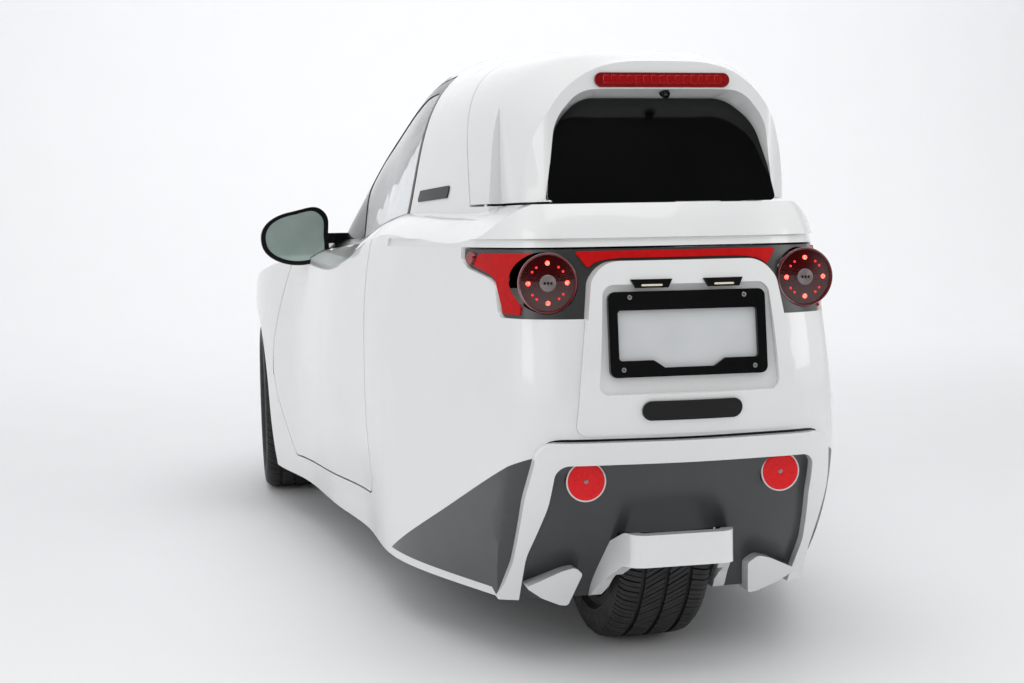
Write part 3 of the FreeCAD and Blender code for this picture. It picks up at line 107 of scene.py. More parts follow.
# Shader groups
def newGroup(name, output, floats):
    # A group that takes a vector and some floats, and gives one float
    group = bpy.data.node_groups.new(name, "ShaderNodeTree")
    group.interface.new_socket("Vector", in_out="INPUT", socket_type="NodeSocketVector")
    for label, value in floats.items():
        socket = group.interface.new_socket(label, in_out="INPUT", socket_type="NodeSocketFloat")
        socket.default_value = value
    group.interface.new_socket(output, in_out="OUTPUT", socket_type="NodeSocketFloat")
    return group, *addNodes(group, "NodeGroupInput", "NodeGroupOutput")


def makeWearGroup(detail=5, thin=0.3, thick=0.7):
    # A soft cloudy change between two values, for roughness and colour
    group, entry, leave = newGroup("cloudyWear", "Value", {"Scale": 6.0, "Low": 0.2, "High": 0.3})
    noise, spread = addNodes(group, "ShaderNodeTexNoise", "ShaderNodeMapRange")
    setInputs(noise, Detail=detail)
    setInputs(spread, From_Min=thin, From_Max=thick)
    wire(group, (entry, "Vector", noise, "Vector"), (entry, "Scale", noise, "Scale"),
         (noise, "Fac", spread, "Value"), (entry, "Low", spread, "To Min"),
         (entry, "High", spread, "To Max"), (spread, "Result", leave, "Value"))
    return group


def makeGrainGroup(detail=3):
    # Fine grain as a height: a noise mixed with pebbles
    group, entry, leave = newGroup("mouldedGrain", "Height", {"Scale": 500.0, "Pebble": 0.5})
    noise, cells, mix = addNodes(group, "ShaderNodeTexNoise", "ShaderNodeTexVoronoi", "ShaderNodeMix")
    setInputs(noise, Detail=detail)
    for texture in (noise, cells):
        wire(group, (entry, "Vector", texture, "Vector"), (entry, "Scale", texture, "Scale"))
    wire(group, (entry, "Pebble", mix, "Factor"), (noise, "Fac", mix, "A"), (cells, "Distance", mix, "B"),
         (mix, "Result", leave, "Height"))
    return group


cloudyWear = makeWearGroup()
mouldedGrain = makeGrainGroup()


def place(tree, group, **values):
    node = tree.nodes.new("ShaderNodeGroup")
    node.node_tree = group
    setInputs(node, **values)
    coords = tree.nodes.get("coords") or tree.nodes.new("ShaderNodeTexCoord")
    coords.name = "coords"
    wire(tree, (coords, "Object", node, "Vector"))
    return node


def addWear(tree, shader, scale, low, high):
    wear = place(tree, cloudyWear, Scale=scale, Low=low, High=high)
    wire(tree, (wear, "Value", shader, "Roughness"))


def addGrain(tree, shader, scale, pebble, strength, distance=0.0002):
    grain = place(tree, mouldedGrain, Scale=scale, Pebble=pebble)
    bump = tree.nodes.new("ShaderNodeBump")
    setInputs(bump, Strength=strength, Distance=distance)
    wire(tree, (grain, "Height", bump, "Height"), (bump, "Normal", shader, "Normal"))


def addShade(tree, shader, scale, dark, pale):
    # Base colour that drifts a little between two near tones
    wear = place(tree, cloudyWear, Scale=scale, Low=0.0, High=1.0)
    tones = tree.nodes.new("ShaderNodeMix")
    tones.data_type = "RGBA"
    setInputs(tones, A=(*dark, 1), B=(*pale, 1))
    wire(tree, (wear, "Value", tones, "Factor"), (tones, "Result", shader, "Base Color"))
    return tones


# Finishes by name: tones, range of roughness, grain as (scale, pebbles, strength, depth)
finishes = {}


def newMaterial(name):
    material = bpy.data.materials.new(name)
    material.use_nodes = True
    finishes[name] = material
    return material.node_tree, material.node_tree.nodes["Principled BSDF"]


def finish(name, dark, pale, rough, shadeScale=3.0, wearScale=8.0, metal=0.0, coat=0.0, coatRough=0.03,
           grain=None, glow=0.0, **sockets):
    tree, shader = newMaterial(name)
    tones = addShade(tree, shader, shadeScale, dark, pale)
    addWear(tree, shader, wearScale, *rough)
    setInputs(shader, Metallic=metal, Coat_Weight=coat, Coat_Roughness=coatRough, **sockets)
    if grain:
        addGrain(tree, shader, *grain)
    if glow:
        # A lit lens, and on the brake lamp cells a painted glint: the tones of its base colour feed its emission too
        wire(tree, (tones, "Result", shader, "Emission Color"))
        setInputs(shader, Emission_Strength=glow)


finish("bodyWhite", (0.8, 0.81, 0.81), (0.83, 0.84, 0.84), (0.3, 0.36), coat=1.0, coatRough=0.02,
       grain=(260.0, 0.0, 0.02))
finish("satinGrey", (0.03, 0.031, 0.033), (0.04, 0.041, 0.043), (0.3, 0.38), coat=0.3, coatRough=0.25,
       grain=(900.0, 0.4, 0.05))
finish("glossBlack", (0.004, 0.004, 0.0045), (0.007, 0.007, 0.0075), (0.14, 0.22), coat=0.06,
       grain=(400.0, 0.0, 0.01), Specular_IOR_Level=0.22)
finish("tyreRubber", (0.008, 0.008, 0.008), (0.017, 0.017, 0.0165), (0.5, 0.68), 30.0, 40.0,
       grain=(1400.0, 0.5, 0.3))
finish("castAlloy", (0.42, 0.43, 0.45), (0.5, 0.51, 0.53), (0.22, 0.34), metal=1.0, grain=(900.0, 0.2, 0.08))
finish("darkAlloy", (0.05, 0.05, 0.055), (0.08, 0.08, 0.085), (0.25, 0.4), metal=0.8, grain=(900.0, 0.2, 0.08))
finish("turnedSteel", (0.3, 0.3, 0.31), (0.38, 0.38, 0.39), (0.25, 0.42), 20.0, 30.0, metal=1.0,
       grain=(1200.0, 0.1, 0.1))
finish("frameBlack", (0.012, 0.012, 0.013), (0.02, 0.02, 0.021), (0.35, 0.5), 6.0, 12.0, grain=(700.0, 0.3, 0.1))
finish("trayGrey", (0.05, 0.05, 0.052), (0.075, 0.075, 0.077), (0.5, 0.65), 5.0, 10.0, grain=(300.0, 0.6, 0.2))
finish("cabinPlastic", (0.022, 0.022, 0.023), (0.032, 0.032, 0.033), (0.45, 0.58), grain=(1500.0, 0.8, 0.25))
finish("seatCloth", (0.02, 0.02, 0.022), (0.035, 0.035, 0.038), (0.75, 0.9), 60.0, 60.0,
       grain=(1300.0, 0.9, 0.5, 0.0004), Sheen_Weight=0.4)
finish("plateBlank", (0.62, 0.64, 0.65), (0.68, 0.7, 0.71), (0.3, 0.4), 10.0, 20.0, coat=0.4,
       grain=(2500.0, 0.6, 0.08))
finish("redLens", (0.46, 0.001, 0.002), (0.56, 0.002, 0.003), (0.3, 0.4), 90.0, 30.0, coat=0.08,
       grain=(900.0, 0.8, 0.1), Specular_IOR_Level=0.15)
finish("deepRedLens", (0.2, 0.001, 0.002), (0.3, 0.002, 0.003), (0.1, 0.16), coat=1.0,
       grain=(220.0, 1.0, 0.5, 0.0008))
finish("lampLens", (0.035, 0.0006, 0.001), (0.06, 0.001, 0.0015), (0.05, 0.1), 30.0, 20.0, coat=1.0,
       grain=(330.0, 1.0, 0.35, 0.0006))
finish("lampRim", (0.12, 0.012, 0.013), (0.16, 0.018, 0.02), (0.1, 0.18), coat=1.0, grain=(500.0, 0.2, 0.03))
finish("lampMiddle", (0.16, 0.13, 0.13), (0.22, 0.18, 0.18), (0.3, 0.4), 40.0, 40.0, coat=0.4,
       grain=(900.0, 0.3, 0.1))
finish("reflectorRed", (0.7, 0.003, 0.007), (0.85, 0.006, 0.01), (0.25, 0.35), 200.0, 60.0, coat=0.3,
       grain=(650.0, 1.0, 0.4, 0.0005), Specular_IOR_Level=0.2)
finish("paleTrim", (0.68, 0.6, 0.6), (0.8, 0.74, 0.74), (0.25, 0.35), 20.0, 30.0, coat=0.5,
       grain=(900.0, 0.2, 0.05))
# Mirror glass: partly metal that truly reflects, partly a pale green-grey diffuse tone that is a painted reflection
# of the studio
finish("mirrorWithPaintedReflection", (0.36, 0.46, 0.42), (0.46, 0.56, 0.52), (0.02, 0.05), 9.0, metal=0.35, coat=1.0,
       coatRough=0.01, grain=(200.0, 0.0, 0.004))
# The brake lamp cells' finish glows faintly as a painted glint; the other three glow as lit lamps
for name, dark, pale, strength in (("diodeGlow", (0.9, 0.01, 0.008), (1.0, 0.12, 0.08), 5.0),
                                   ("diodeDim", (0.6, 0.004, 0.004), (0.8, 0.02, 0.015), 0.9),
                                   ("brakeCellPaintedGlint", (0.2, 0.001, 0.002), (0.42, 0.003, 0.004), 0.12),
                                   ("plateGlow", (0.5, 0.46, 0.34), (0.62, 0.58, 0.46), 0.35)):
    finish(name, dark, pale, (0.1, 0.2), 300.0, 60.0, coat=1.0, grain=(900.0, 0.5, 0.1), glow=strength)
for name, colour, rough in (("clearGlass", (0.93, 0.95, 0.95), (0.0, 0.012)),
                            ("clearLens", (0.95, 0.96, 0.97), (0.0, 0.03))):
    tree, shader = newMaterial(name)
    setInputs(shader, Base_Color=(*colour, 1), Transmission_Weight=1.0, IOR=1.45)
    addWear(tree, shader, 5.0, *rough)
finish("darkGlass", (0.002, 0.002, 0.0023), (0.003, 0.003, 0.0034), (0.07, 0.11), coat=0.25, coatRough=0.2,
       grain=(300.0, 0.0, 0.004), Specular_IOR_Level=0.4)
print("finishes made")


# Geometry Nodes trees
def newTree(name, **inputs):
    tree = bpy.data.node_groups.new(name, "GeometryNodeTree")
    for label, kind in {"Geometry": "Geometry", **inputs}.items():
        tree.interface.new_socket(label, in_out="INPUT", socket_type="NodeSocket" + kind)
    tree.interface.new_socket("Geometry", in_out="OUTPUT", socket_type="NodeSocketGeometry")
    return tree, *addNodes(tree, "NodeGroupInput", "NodeGroupOutput")


def makeSmoothTree(limit=30):
    # A live tree that joins the frame's loose triangles and shades them smooth below an angle
    tree, entry, leave = newTree("smoothPanels", Angle="Float")
    tree.interface.items_tree["Angle"].default_value = math.radians(limit)
    merge, angle, compare = addNodes(tree, "GeometryNodeMergeByDistance", "GeometryNodeInputMeshEdgeAngle",
                                     "FunctionNodeCompare")
    smoothFaces, smoothEdges = addNodes(tree, *["GeometryNodeSetShadeSmooth"] * 2)
    smoothEdges.domain = "EDGE"
    compare.operation = "GREATER_THAN"
    setInputs(merge, Distance=weldGap)
    setInputs(smoothEdges, Shade_Smooth=False)
    wire(tree, (entry, "Geometry", merge, "Geometry"), (merge, "Geometry", smoothFaces, "Geometry"),
         (smoothFaces, "Geometry", smoothEdges, "Geometry"), (angle, "Unsigned Angle", compare, "A"),
         (entry, "Angle", compare, "B"), (compare, "Result", smoothEdges, "Selection"),
         (smoothEdges, "Geometry", leave, "Geometry"))
    return tree


smoothTree = makeSmoothTree()


def dress(name, finishName):
    node = nodes[name]
    node.data.materials.clear()
    node.data.materials.append(finishes[finishName])
    modifier = node.modifiers.new("smoothPanels", "NODES")
    modifier.node_group = smoothTree


nodeFinish = {
    "bodyWhite": ["front_body", "upper_body", "lower_body", "bumper_frame", "rear_arch_hood", "bumper_fins",
                  "plate_hood", "bonnet", "door_left", "door_right", "hatch"],
    "satinGrey": ["tail_band", "bumper_panel", "front_grille", "wheel_housings"],
    "glossBlack": ["plate_frame", "tail_badge", "quarter_badges", "door_frame_left", "door_frame_right",
                   "windscreen_frame", "mirror_left", "mirror_right"],
    "clearGlass": ["door_glass_left", "door_glass_right", "windscreen"],
    "darkGlass": ["rear_glass"],
    "clearLens": ["headlamps"],
    "redLens": ["reflectors", "tail_inserts"],
    "deepRedLens": ["tail_lamps", "high_brake_lamp", "marker_lamps"],
    "plateBlank": ["number_plate"],
    "tyreRubber": ["front_tyre_left", "front_tyre_right", "rear_tyre"],
    "castAlloy": ["front_rim_left", "front_rim_right"],
    "darkAlloy": ["rear_rim"],
    "turnedSteel": ["brake_disc_left", "brake_disc_right", "knuckle_left", "knuckle_right", "drive_unit"],
    "frameBlack": ["front_suspension", "swing_arm"],
    "trayGrey": ["floor_tray", "rear_tray", "battery"],
    "cabinPlastic": ["dashboard", "steering_wheel"],
    "seatCloth": ["seat_base", "seat_back"],
}
for finishName, names in nodeFinish.items():
    for name in names:
        dress(name, finishName)
print("frame pieces dressed")


# Meshes are made of rows of points, revolved profiles and outlines
def meshOf(name, bm):
    mesh = bpy.data.meshes.new(name)
    bm.to_mesh(mesh)
    bm.free()
    return mesh


def settled(thing):
    # The object as its modifiers leave it
    return thing.evaluated_get(bpy.context.evaluated_depsgraph_get())


def weldedNode(name):
    bm = bmesh.new()
    bm.from_mesh(nodes[name].data)
    bmesh.ops.remove_doubles(bm, verts=bm.verts, dist=weldGap)
    return bm


def shadedMesh(name, bm, smooth):
    # Smooth, but for edges sharper than an angle in degrees
    bmesh.ops.recalc_face_normals(bm, faces=bm.faces)
    for face in bm.faces:
        face.smooth = True
    for edge in bm.edges:
        if len(edge.link_faces) == 2 and edge.calc_face_angle(0) > math.radians(smooth):
            edge.smooth = False
    return meshOf(name, bm)


def addPiece(name, mesh, finishName, body):
    piece = addObject(name, mesh)
    mesh.materials.clear()
    mesh.materials.append(finishes[finishName])
    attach(piece, body)
    return piece


def newPiece(name, bm, finishName, body, smooth=40):
    return addPiece(name, shadedMesh(name, bm, smooth), finishName, body)


def makeTemplate(bm, smooth=40):
    return addObject("template", shadedMesh("template", bm, smooth))


def joinRows(bm, rows, closeRows=False, closeAround=True):
    # Quads between rows of vertices; the rows may close on themselves and on each other
    count = len(rows)
    for index in range(count if closeRows else count - 1):
        first = rows[index]
        second = rows[(index + 1) % count]
        last = len(first) if closeAround else len(first) - 1
        for k in range(last):
            n = (k + 1) % len(first)
            corners = [first[k], first[n], second[n], second[k]]
            if len(set(corners)) >= 3:
                bm.faces.new(corners)


def capEnds(bm, rows, start=True, end=True):
    if start:
        bm.faces.new(rows[0][::-1])
    if end:
        bm.faces.new(rows[-1])


def ringRow(bm, centre, axis, radius, height, count):
    # A ring of vertices round an axis, at a height along it
    axis = Vector(axis).normalized()
    side = axis.orthogonal().normalized()
    other = axis.cross(side)
    row = []
    for k in range(count):
        turn = 2 * math.pi * k / count
        spot = Vector(centre) + axis * height + (side * math.cos(turn) + other * math.sin(turn)) * radius
        row.append(bm.verts.new(spot))
    return row


def revolve(bm, centre, axis, profile, count, closed=False, capStart=False, capEnd=False):
    # A profile of (height, radius) turned round an axis
    rows = [ringRow(bm, centre, axis, radius, height, count) for height, radius in profile]
    joinRows(bm, rows, closeRows=closed)
    capEnds(bm, rows, capStart, capEnd)


def dome(base, rise, radius, steps, tip=0.0001):
    # A quarter round as a profile, from its rim to a small flat tip
    turns = [math.pi / 2 * k / steps for k in range(steps + 1)]
    return [(base + rise * math.sin(turn), radius * math.cos(turn) + tip) for turn in turns]


def scaled(profile, radius):
    # A profile given as (height, share of the radius)
    return [(height, radius * share) for height, share in profile]


def shaped(shape, height, radius):
    # A profile given as (share of the height, share of the radius)
    return [(height * rise, radius * wide) for rise, wide in shape]


def setIn(profile, radius):
    # A profile given as (height, how far inside the radius)
    return [(height, radius - inset) for height, inset in profile]


def turnOf(spots, middle):
    # The way that a closed outline faces
    turn = Vector()
    for a, b in zip(spots, spots[1:] + spots[:1]):
        turn += (a - middle).cross(b - middle)
    return turn.normalized()


def slab(bm, outline, thickness, bevel=0.0):
    # A closed outline of points in space, thickened along its normal with a bevelled upper edge
    spots = [Vector(p) for p in outline]
    middle = sum(spots, Vector()) / len(spots)
    normal = turnOf(spots, middle)
    rows = [[bm.verts.new(p) for p in spots],
            [bm.verts.new(p + normal * (thickness - bevel)) for p in spots]]
    if bevel:
        rows.append([bm.verts.new(middle + (p - middle) * (1 - bevel / (p - middle).length) + normal * thickness)
                     for p in spots])
    joinRows(bm, rows)
    capEnds(bm, rows)


def plot(spot, across, up, outline, wide=1.0, tall=1.0):
    # An outline of (u, v) laid out on a surface
    return [spot + across * u * wide + up * v * tall for u, v in outline]


fourCorners = ((-1, -1), (1, -1), (1, 1), (-1, 1))


def stadium(width, height, count=8):
    # An outline of (u, v) with round ends
    r = height / 2
    points = []
    for side in (1, -1):
        for k in range(count + 1):
            turn = math.pi * (k / count - 0.5)
            points.append((side * (width / 2 - r + r * math.cos(turn)), side * r * math.sin(turn)))
    return points


# Trees that repeat a template round an axis or over a set of turned points
def startRepeat(name, **inputs):
    # What both trees share: copies on points, turned, realized and painted
    tree, entry, leave = newTree(name, Template="Object", **inputs, Finish="Material")
    info, spread, rotation, realize, paint = addNodes(
        tree, "GeometryNodeObjectInfo", "GeometryNodeInstanceOnPoints", "FunctionNodeEulerToRotation",
        "GeometryNodeRealizeInstances", "GeometryNodeSetMaterial")
    wire(tree, (entry, "Template", info, "Object"), (info, "Geometry", spread, "Instance"),
         (rotation, "Rotation", spread, "Rotation"), (spread, "Instances", realize, "Geometry"),
         (realize, "Geometry", paint, "Geometry"), (entry, "Finish", paint, "Material"),
         (paint, "Geometry", leave, "Geometry"))
    return tree, entry, spread, rotation


def makeRingTree():
    # As many copies as Count says, turned evenly round X
    tree, entry, spread, rotation = startRepeat("repeatRound", Count="Int")
    line, index, vector = addNodes(tree, "GeometryNodeMeshLine", "GeometryNodeInputIndex", "ShaderNodeCombineXYZ")
    share, turn = addNodes(tree, *["ShaderNodeMath"] * 2)
    setInputs(line, Offset=origin)
    share.operation = "DIVIDE"
    turn.operation = "MULTIPLY"
    turn.inputs[1].default_value = 2 * math.pi
    wire(tree, (entry, "Count", line, "Count"), (line, "Mesh", spread, "Points"), (index, "Index", share, 0),
         (entry, "Count", share, 1), (share, "Value", turn, 0), (turn, "Value", vector, "X"),
         (vector, "Vector", rotation, "Euler"))
    return tree


def makeScatterTree():
    # One copy on each point of the carrier, turned by the point's own angles
    tree, entry, spread, rotation = startRepeat("scatterTurned")
    turns = tree.nodes.new("GeometryNodeInputNamedAttribute")
    turns.data_type = "FLOAT_VECTOR"
    setInputs(turns, Name="turn")
    wire(tree, (entry, "Geometry", spread, "Points"), (turns, "Attribute", rotation, "Euler"))
    return tree


ringTree = makeRingTree()
scatterTree = makeScatterTree()


def grown(name, tree, carrierMesh, template, finishName, body, count=0, shift=(0, 0, 0)):
    # Runs a tree on a carrier, keeps its result as a plain mesh and drops the carrier
    carrier = addObject(name + "Carrier", carrierMesh)
    modifier = carrier.modifiers.new("grow", "NODES")
    modifier.node_group = tree
    values = {"Template": template, "Count": count, "Finish": finishes[finishName]}
    for item in tree.interface.items_tree:
        if item.in_out == "INPUT" and item.name in values:
            modifier[item.identifier] = values[item.name]
    mesh = bpy.data.meshes.new_from_object(settled(carrier))
    mesh.name = name
    mesh.transform(Matrix.Translation(shift))
    bpy.data.objects.remove(carrier)
    bpy.data.objects.remove(template)
    return addPiece(name, mesh, finishName, body)


def scatter(name, template, spots, finishName, body):
    # Copies of a template that faces +Z, each at a place and turned to face a direction
    mesh = bpy.data.meshes.new(name + "Spots")
    mesh.from_pydata([spot for spot, way in spots], [], [])
    turns = mesh.attributes.new("turn", "FLOAT_VECTOR", "POINT")
    for index, (spot, way) in enumerate(spots):
        turns.data[index].vector = Vector(way).to_track_quat("Z", "Y").to_euler()
    return grown(name, scatterTree, mesh, template, finishName, body)


def boxOf(spots):
    return [Vector([pick(p[i] for p in spots) for i in range(3)]) for pick in (min, max)]


def nodeBox(name):
    return [Vector(corner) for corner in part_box(name)]


def nodeWheel(name):
    low, high = nodeBox(name)
    return (low + high) / 2, (high.z - low.z) / 2, high.x - low.x


# Tyres: a smooth carcass with rings of tread blocks
tyreSpec = {
    "pitches": 68,
    "grooveDepth": 0.0075,
    "gap": 0.0034,
    "sipe": 0.0014,
    "edge": 0.0007,
    "root": 0.001,
    "ribs": [(-0.95, -0.53, -0.25), (-0.44, -0.045, 0.7), (0.045, 0.44, 0.7), (0.53, 0.95, -0.25)],
    "cuts": (0.25, 0.5, 0.75),
    "spin": 128,
    "crown": (0.003, 0.024, 12),
    "crownWidth": 0.955,
    "crownSteps": 12,
    "wall": [(0.955, 0.0165), (0.972, 0.0205), (0.985, 0.0265), (0.994, 0.031), (1.0, 0.038), (0.998, 0.046),
             (0.985, 0.053), (0.986, 0.0545), (0.966, 0.0575), (0.955, 0.0625), (0.9, 0.066)],
    "beadRadius": 0.2165,
    "beadInset": 0.022,
    "bead": [(0, 0.002), (0.004, 0)],
    "liner": (0.012, 0.02),
}


def treadDrop(spec, u):
    # How far the tread lies under its crown, u being 0 in the middle and 1 at the edge
    bow, shoulder, power = spec["crown"]
    return bow * u * u + shoulder * abs(u) ** power


def makeTreadTemplate(spec, radius, half):
    # One pitch of all ribs, each cut in two blocks by a sipe
    bm = bmesh.new()
    pitch = 2 * math.pi / spec["pitches"] * radius
    edge = spec["edge"]
    for low, high, slant in spec["ribs"]:
        width = (high - low) * half
        across = [0, edge / width, *spec["cuts"], 1 - edge / width, 1]
        for start, end in ((spec["gap"] / 2, pitch / 2 - spec["sipe"] / 2),
                           (pitch / 2 + spec["sipe"] / 2, pitch - spec["gap"] / 2)):
            length = end - start
            grid = []
            for j, t in enumerate((0, edge / length, 1 - edge / length, 1)):
                row = []
                for i, s in enumerate(across):
                    x = (low + (high - low) * s) * half
                    rim = i in (0, len(across) - 1) or j in (0, 3)
                    r = radius - treadDrop(spec, x / half) - (edge if rim else 0)
                    row.append((x, r, (start + length * t + slant * x) / radius))
                grid.append(row)
            verts = [[bm.verts.new((x, r * math.sin(a), r * math.cos(a))) for x, r, a in row] for row in grid]
            joinRows(bm, verts, closeAround=False)
            border = [(0, i) for i in range(len(across))] + [(1, len(across) - 1), (2, len(across) - 1)]
            border += [(3, i) for i in reversed(range(len(across)))] + [(2, 0), (1, 0)]
            foot = []
            for j, i in border:
                x, r, a = grid[j][i]
                deep = radius - treadDrop(spec, x / half) - spec["grooveDepth"] - spec["root"]
                foot.append(bm.verts.new((x, deep * math.sin(a), deep * math.cos(a))))
            joinRows(bm, [[verts[j][i] for j, i in border], foot])
    return makeTemplate(bm, smooth=30)


def makeTyre(spec, node, body):
    centre, radius, width = nodeWheel(node)
    half, beadRadius = width / 2, spec["beadRadius"]
    grown(node + "_tread", ringTree, bpy.data.meshes.new("empty"), makeTreadTemplate(spec, radius, half),
          "tyreRubber", body, spec["pitches"], centre)
    beadHalf = half - spec["beadInset"]
    right = [(u * half, radius - drop) for u, drop in spec["wall"]]
    right += [(beadHalf - inward, beadRadius + out) for inward, out in spec["bead"]]
    left = [(-x, r) for x, r in reversed(right)]
    crown = []
    for k in range(2 * spec["crownSteps"] + 1):
        u = spec["crownWidth"] * (k / spec["crownSteps"] - 1)
        crown.append((u * half, radius - treadDrop(spec, u) - spec["grooveDepth"]))
    step, depth = spec["liner"]
    inner = [(beadHalf - step, beadRadius + step), (0, radius - depth), (-beadHalf + step, beadRadius + step)]
    bm = bmesh.new()
    revolve(bm, centre, (1, 0, 0), left + crown + right + inner, spec["spin"], closed=True)
    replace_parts(newPiece(node + "_carcass", bm, "tyreRubber", body, smooth=35), node)


for node, body in (("front_tyre_left", "front_wheel_left"), ("front_tyre_right", "front_wheel_right"),
                   ("rear_tyre", "rear_wheel")):
    makeTyre(tyreSpec, node, body)
print("tyres made")


# Places on the frame's surfaces
def treeOf(*names):
    verts, faces = [], []
    for name in names:
        mesh = nodes[name].data
        start = len(verts)
        verts += [v.co.copy() for v in mesh.vertices]
        faces += [[start + i for i in p.vertices] for p in mesh.polygons]
    return BVHTree.FromPolygons(verts, faces)


def landing(tree, start, way):
    # Where a ray meets the tree, with the normal that faces back along the ray
    spot, normal = tree.ray_cast(Vector(start), way)[:2]
    return spot, -normal if normal.dot(way) > 0 else normal


def landFromBehind(tree, x, z, away=2):
    return landing(tree, (x, away, z), forwards)


def groupArea(group):
    return sum(face.calc_area() for face in group)


def borderLoops(bm, group):
    # The closed outlines round a group of faces, as lists of places
    inside = {face.index for face in group}
    links = {}
    for face in group:
        for edge in face.edges:
            if sum(1 for f in edge.link_faces if f.index in inside) == 1:
                a, b = edge.verts
                links.setdefault(a.index, []).append(b.index)
                links.setdefault(b.index, []).append(a.index)
    bm.verts.ensure_lookup_table()
    loops, seen = [], set()
    for start in sorted(links):
        if start in seen:
            continue
        loop = [start]
        onward = [start]
        while onward:
            seen.add(loop[-1])
            onward = [n for n in links[loop[-1]] if n not in seen]
            loop += onward[:1]
        loops.append([bm.verts[i].co.copy() for i in loop])
    return loops


def flatPatch(name, way, side=0, slack=0.996, facing=0.6):
    # The largest flat patch of a node that faces a way: its outline in order, middle and normal
    bm = weldedNode(name)
    bm.faces.index_update()
    order = [f for f in bm.faces if f.normal.dot(way) > facing and f.calc_center_median().x * side >= 0]
    left = {f.index for f in order}
    best = []
    for seed in order:
        if seed.index not in left:
            continue
        left.remove(seed.index)
        group, front = [seed], [seed]
        while front:
            for edge in front.pop().edges:
                for other in edge.link_faces:
                    if other.index in left and other.normal.dot(seed.normal) > slack:
                        left.remove(other.index)
                        group.append(other)
                        front.append(other)
        if groupArea(group) > groupArea(best):
            best = group
    longest = max(borderLoops(bm, best), key=lambda loop: sum((a - b).length for a, b in zip(loop, loop[1:])))
    normal = sum((f.normal * f.calc_area() for f in best), Vector()).normalized()
    bm.free()
    middle = sum(boxOf(longest), Vector()) / 2
    if turnOf(longest, middle).dot(normal) < 0:
        longest.reverse()
    return longest, middle, normal


def drawnIn(outline, middle, gap):
    return [p + (middle - p).normalized() * gap for p in outline]


def frameAt(normal):
    across = upwards.cross(normal).normalized()
    return across, normal.cross(across).normalized()


# Round tail lamps: housing, dark lens, lit diodes and a ribbed middle
tailLampSpec = {
    "shell": [(-0.03, 0.006), (-0.012, 0.001), (-0.002, 0.0004), (-0.0004, 0.0012), (0, 0.0022), (-0.0006, 0.0035),
              (-0.0045, 0.005)],
    "lens": {"rim": 0.0045, "sink": 0.0045, "foot": 0.0005, "lift": -0.0008, "bow": 1.6, "steps": 8, "tip": 0.0002},
    "spin": 72,
    "bright": {"ring": 0.0385, "size": 0.0046, "sink": 0.0036, "fan": (0,)},
    "dim": {"ring": 0.0375, "size": 0.0026, "sink": 0.0033, "fan": (math.pi / 4 - 0.16, math.pi / 4 + 0.16)},
    "diodes": 4,
    "diodeFoot": -0.002,
    "diodeRise": 0.62,
    "middle": 0.0165,
    "middleSink": 0.001,
    "middleSpin": 48,
    "ribs": 5,
    "ribFoot": -0.0006,
    "rib": (0.0004, 0.0007),
    "square": (0.0019, 0.00228),
    "squarePitch": 0.00646,
    "squareLift": 0.0002,
    "squareThick": (0.0007, 0.0002),
}


def makeTailLamps(spec):
    shell, lens, middle, squares = (bmesh.new() for _ in range(4))
    low, high = nodeBox("tail_lamps")
    radius = (high.z - low.z) / 2
    glass = spec["lens"]
    reach, steps = radius - glass["rim"], glass["steps"]
    bow = [(-glass["sink"] - glass["foot"], reach)]
    for k in range(1, steps + 1):
        share = k / steps
        bow.append((-glass["sink"] * (1 - share) ** glass["bow"] + glass["lift"],
                    reach * (1 - share) + glass["tip"] * share))
    count = spec["ribs"] * 2
    ribs = [(spec["ribFoot"], spec["middle"])]
    ribs += [(spec["rib"][0] + (spec["rib"][1] if k % 2 else 0), spec["middle"] * (1 - (k + 0.5) / count))
             for k in range(count)]
    diodes = {"bright": [], "dim": []}
    for side in (1, -1):
        centre, normal = flatPatch("tail_lamps", backwards, side)[1:]
        across, up = frameAt(normal)
        revolve(shell, centre, normal, setIn(spec["shell"], radius), spec["spin"], capStart=True)
        revolve(lens, centre, normal, bow, spec["spin"], capEnd=True)
        revolve(middle, centre - normal * spec["middleSink"], normal, ribs, spec["middleSpin"], capEnd=True)
        for k in (-1, 0, 1):
            spot = centre + across * k * spec["squarePitch"] + normal * spec["squareLift"]
            slab(squares, plot(spot, across, up, fourCorners, *spec["square"]), *spec["squareThick"])
        for k in range(spec["diodes"]):
            for kind, spots in diodes.items():
                for shift in spec[kind]["fan"]:
                    turn = 2 * math.pi * k / spec["diodes"] + shift
                    ray = across * math.cos(turn) + up * math.sin(turn)
                    spots.append((centre + ray * spec[kind]["ring"] - normal * spec[kind]["sink"], normal))
    newPiece("tailLampShell", shell, "lampRim", "chassis")
    body = newPiece("tailLampLens", lens, "lampLens", "chassis")
    newPiece("tailLampMiddle", middle, "lampMiddle", "chassis")
    newPiece("tailLampSquares", squares, "glossBlack", "chassis")
    for name, kind, finishName in (("tailLampDiodes", "bright", "diodeGlow"),
                                   ("tailLampDimDiodes", "dim", "diodeDim")):
        bm = bmesh.new()
        size = spec[kind]["size"]
        profile = [(spec["diodeFoot"], size)] + dome(0, size * spec["diodeRise"], size, steps=5, tip=0.00005)
        revolve(bm, origin, upwards, profile, count=20, capEnd=True)
        scatter(name, makeTemplate(bm), diodes[kind], finishName, "chassis")
    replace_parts(body, "tail_lamps")


reflectorSpec = {
    "rim": [(-0.0045, 0.0004), (-0.0007, 0.0001), (0, 0.0007), (0, 0.0025), (-0.001, 0.003)],
    "face": [(-0.0012, 0.0028)],
    "ringInset": 0.0034,
    "ringMiddle": 0.0035,
    "ringBase": -0.0006,
    "ringRise": 0.00025,
    "rings": 10,
    "spin": 64,
    "headSink": 0.0006,
    "head": (0.0042, 0.0016),
}


screwShape = ((0.5, 1), (0.9, 0.8), (1, 0.6), (1, 0.42), (0.45, 0.38), (0.4, 0.05))


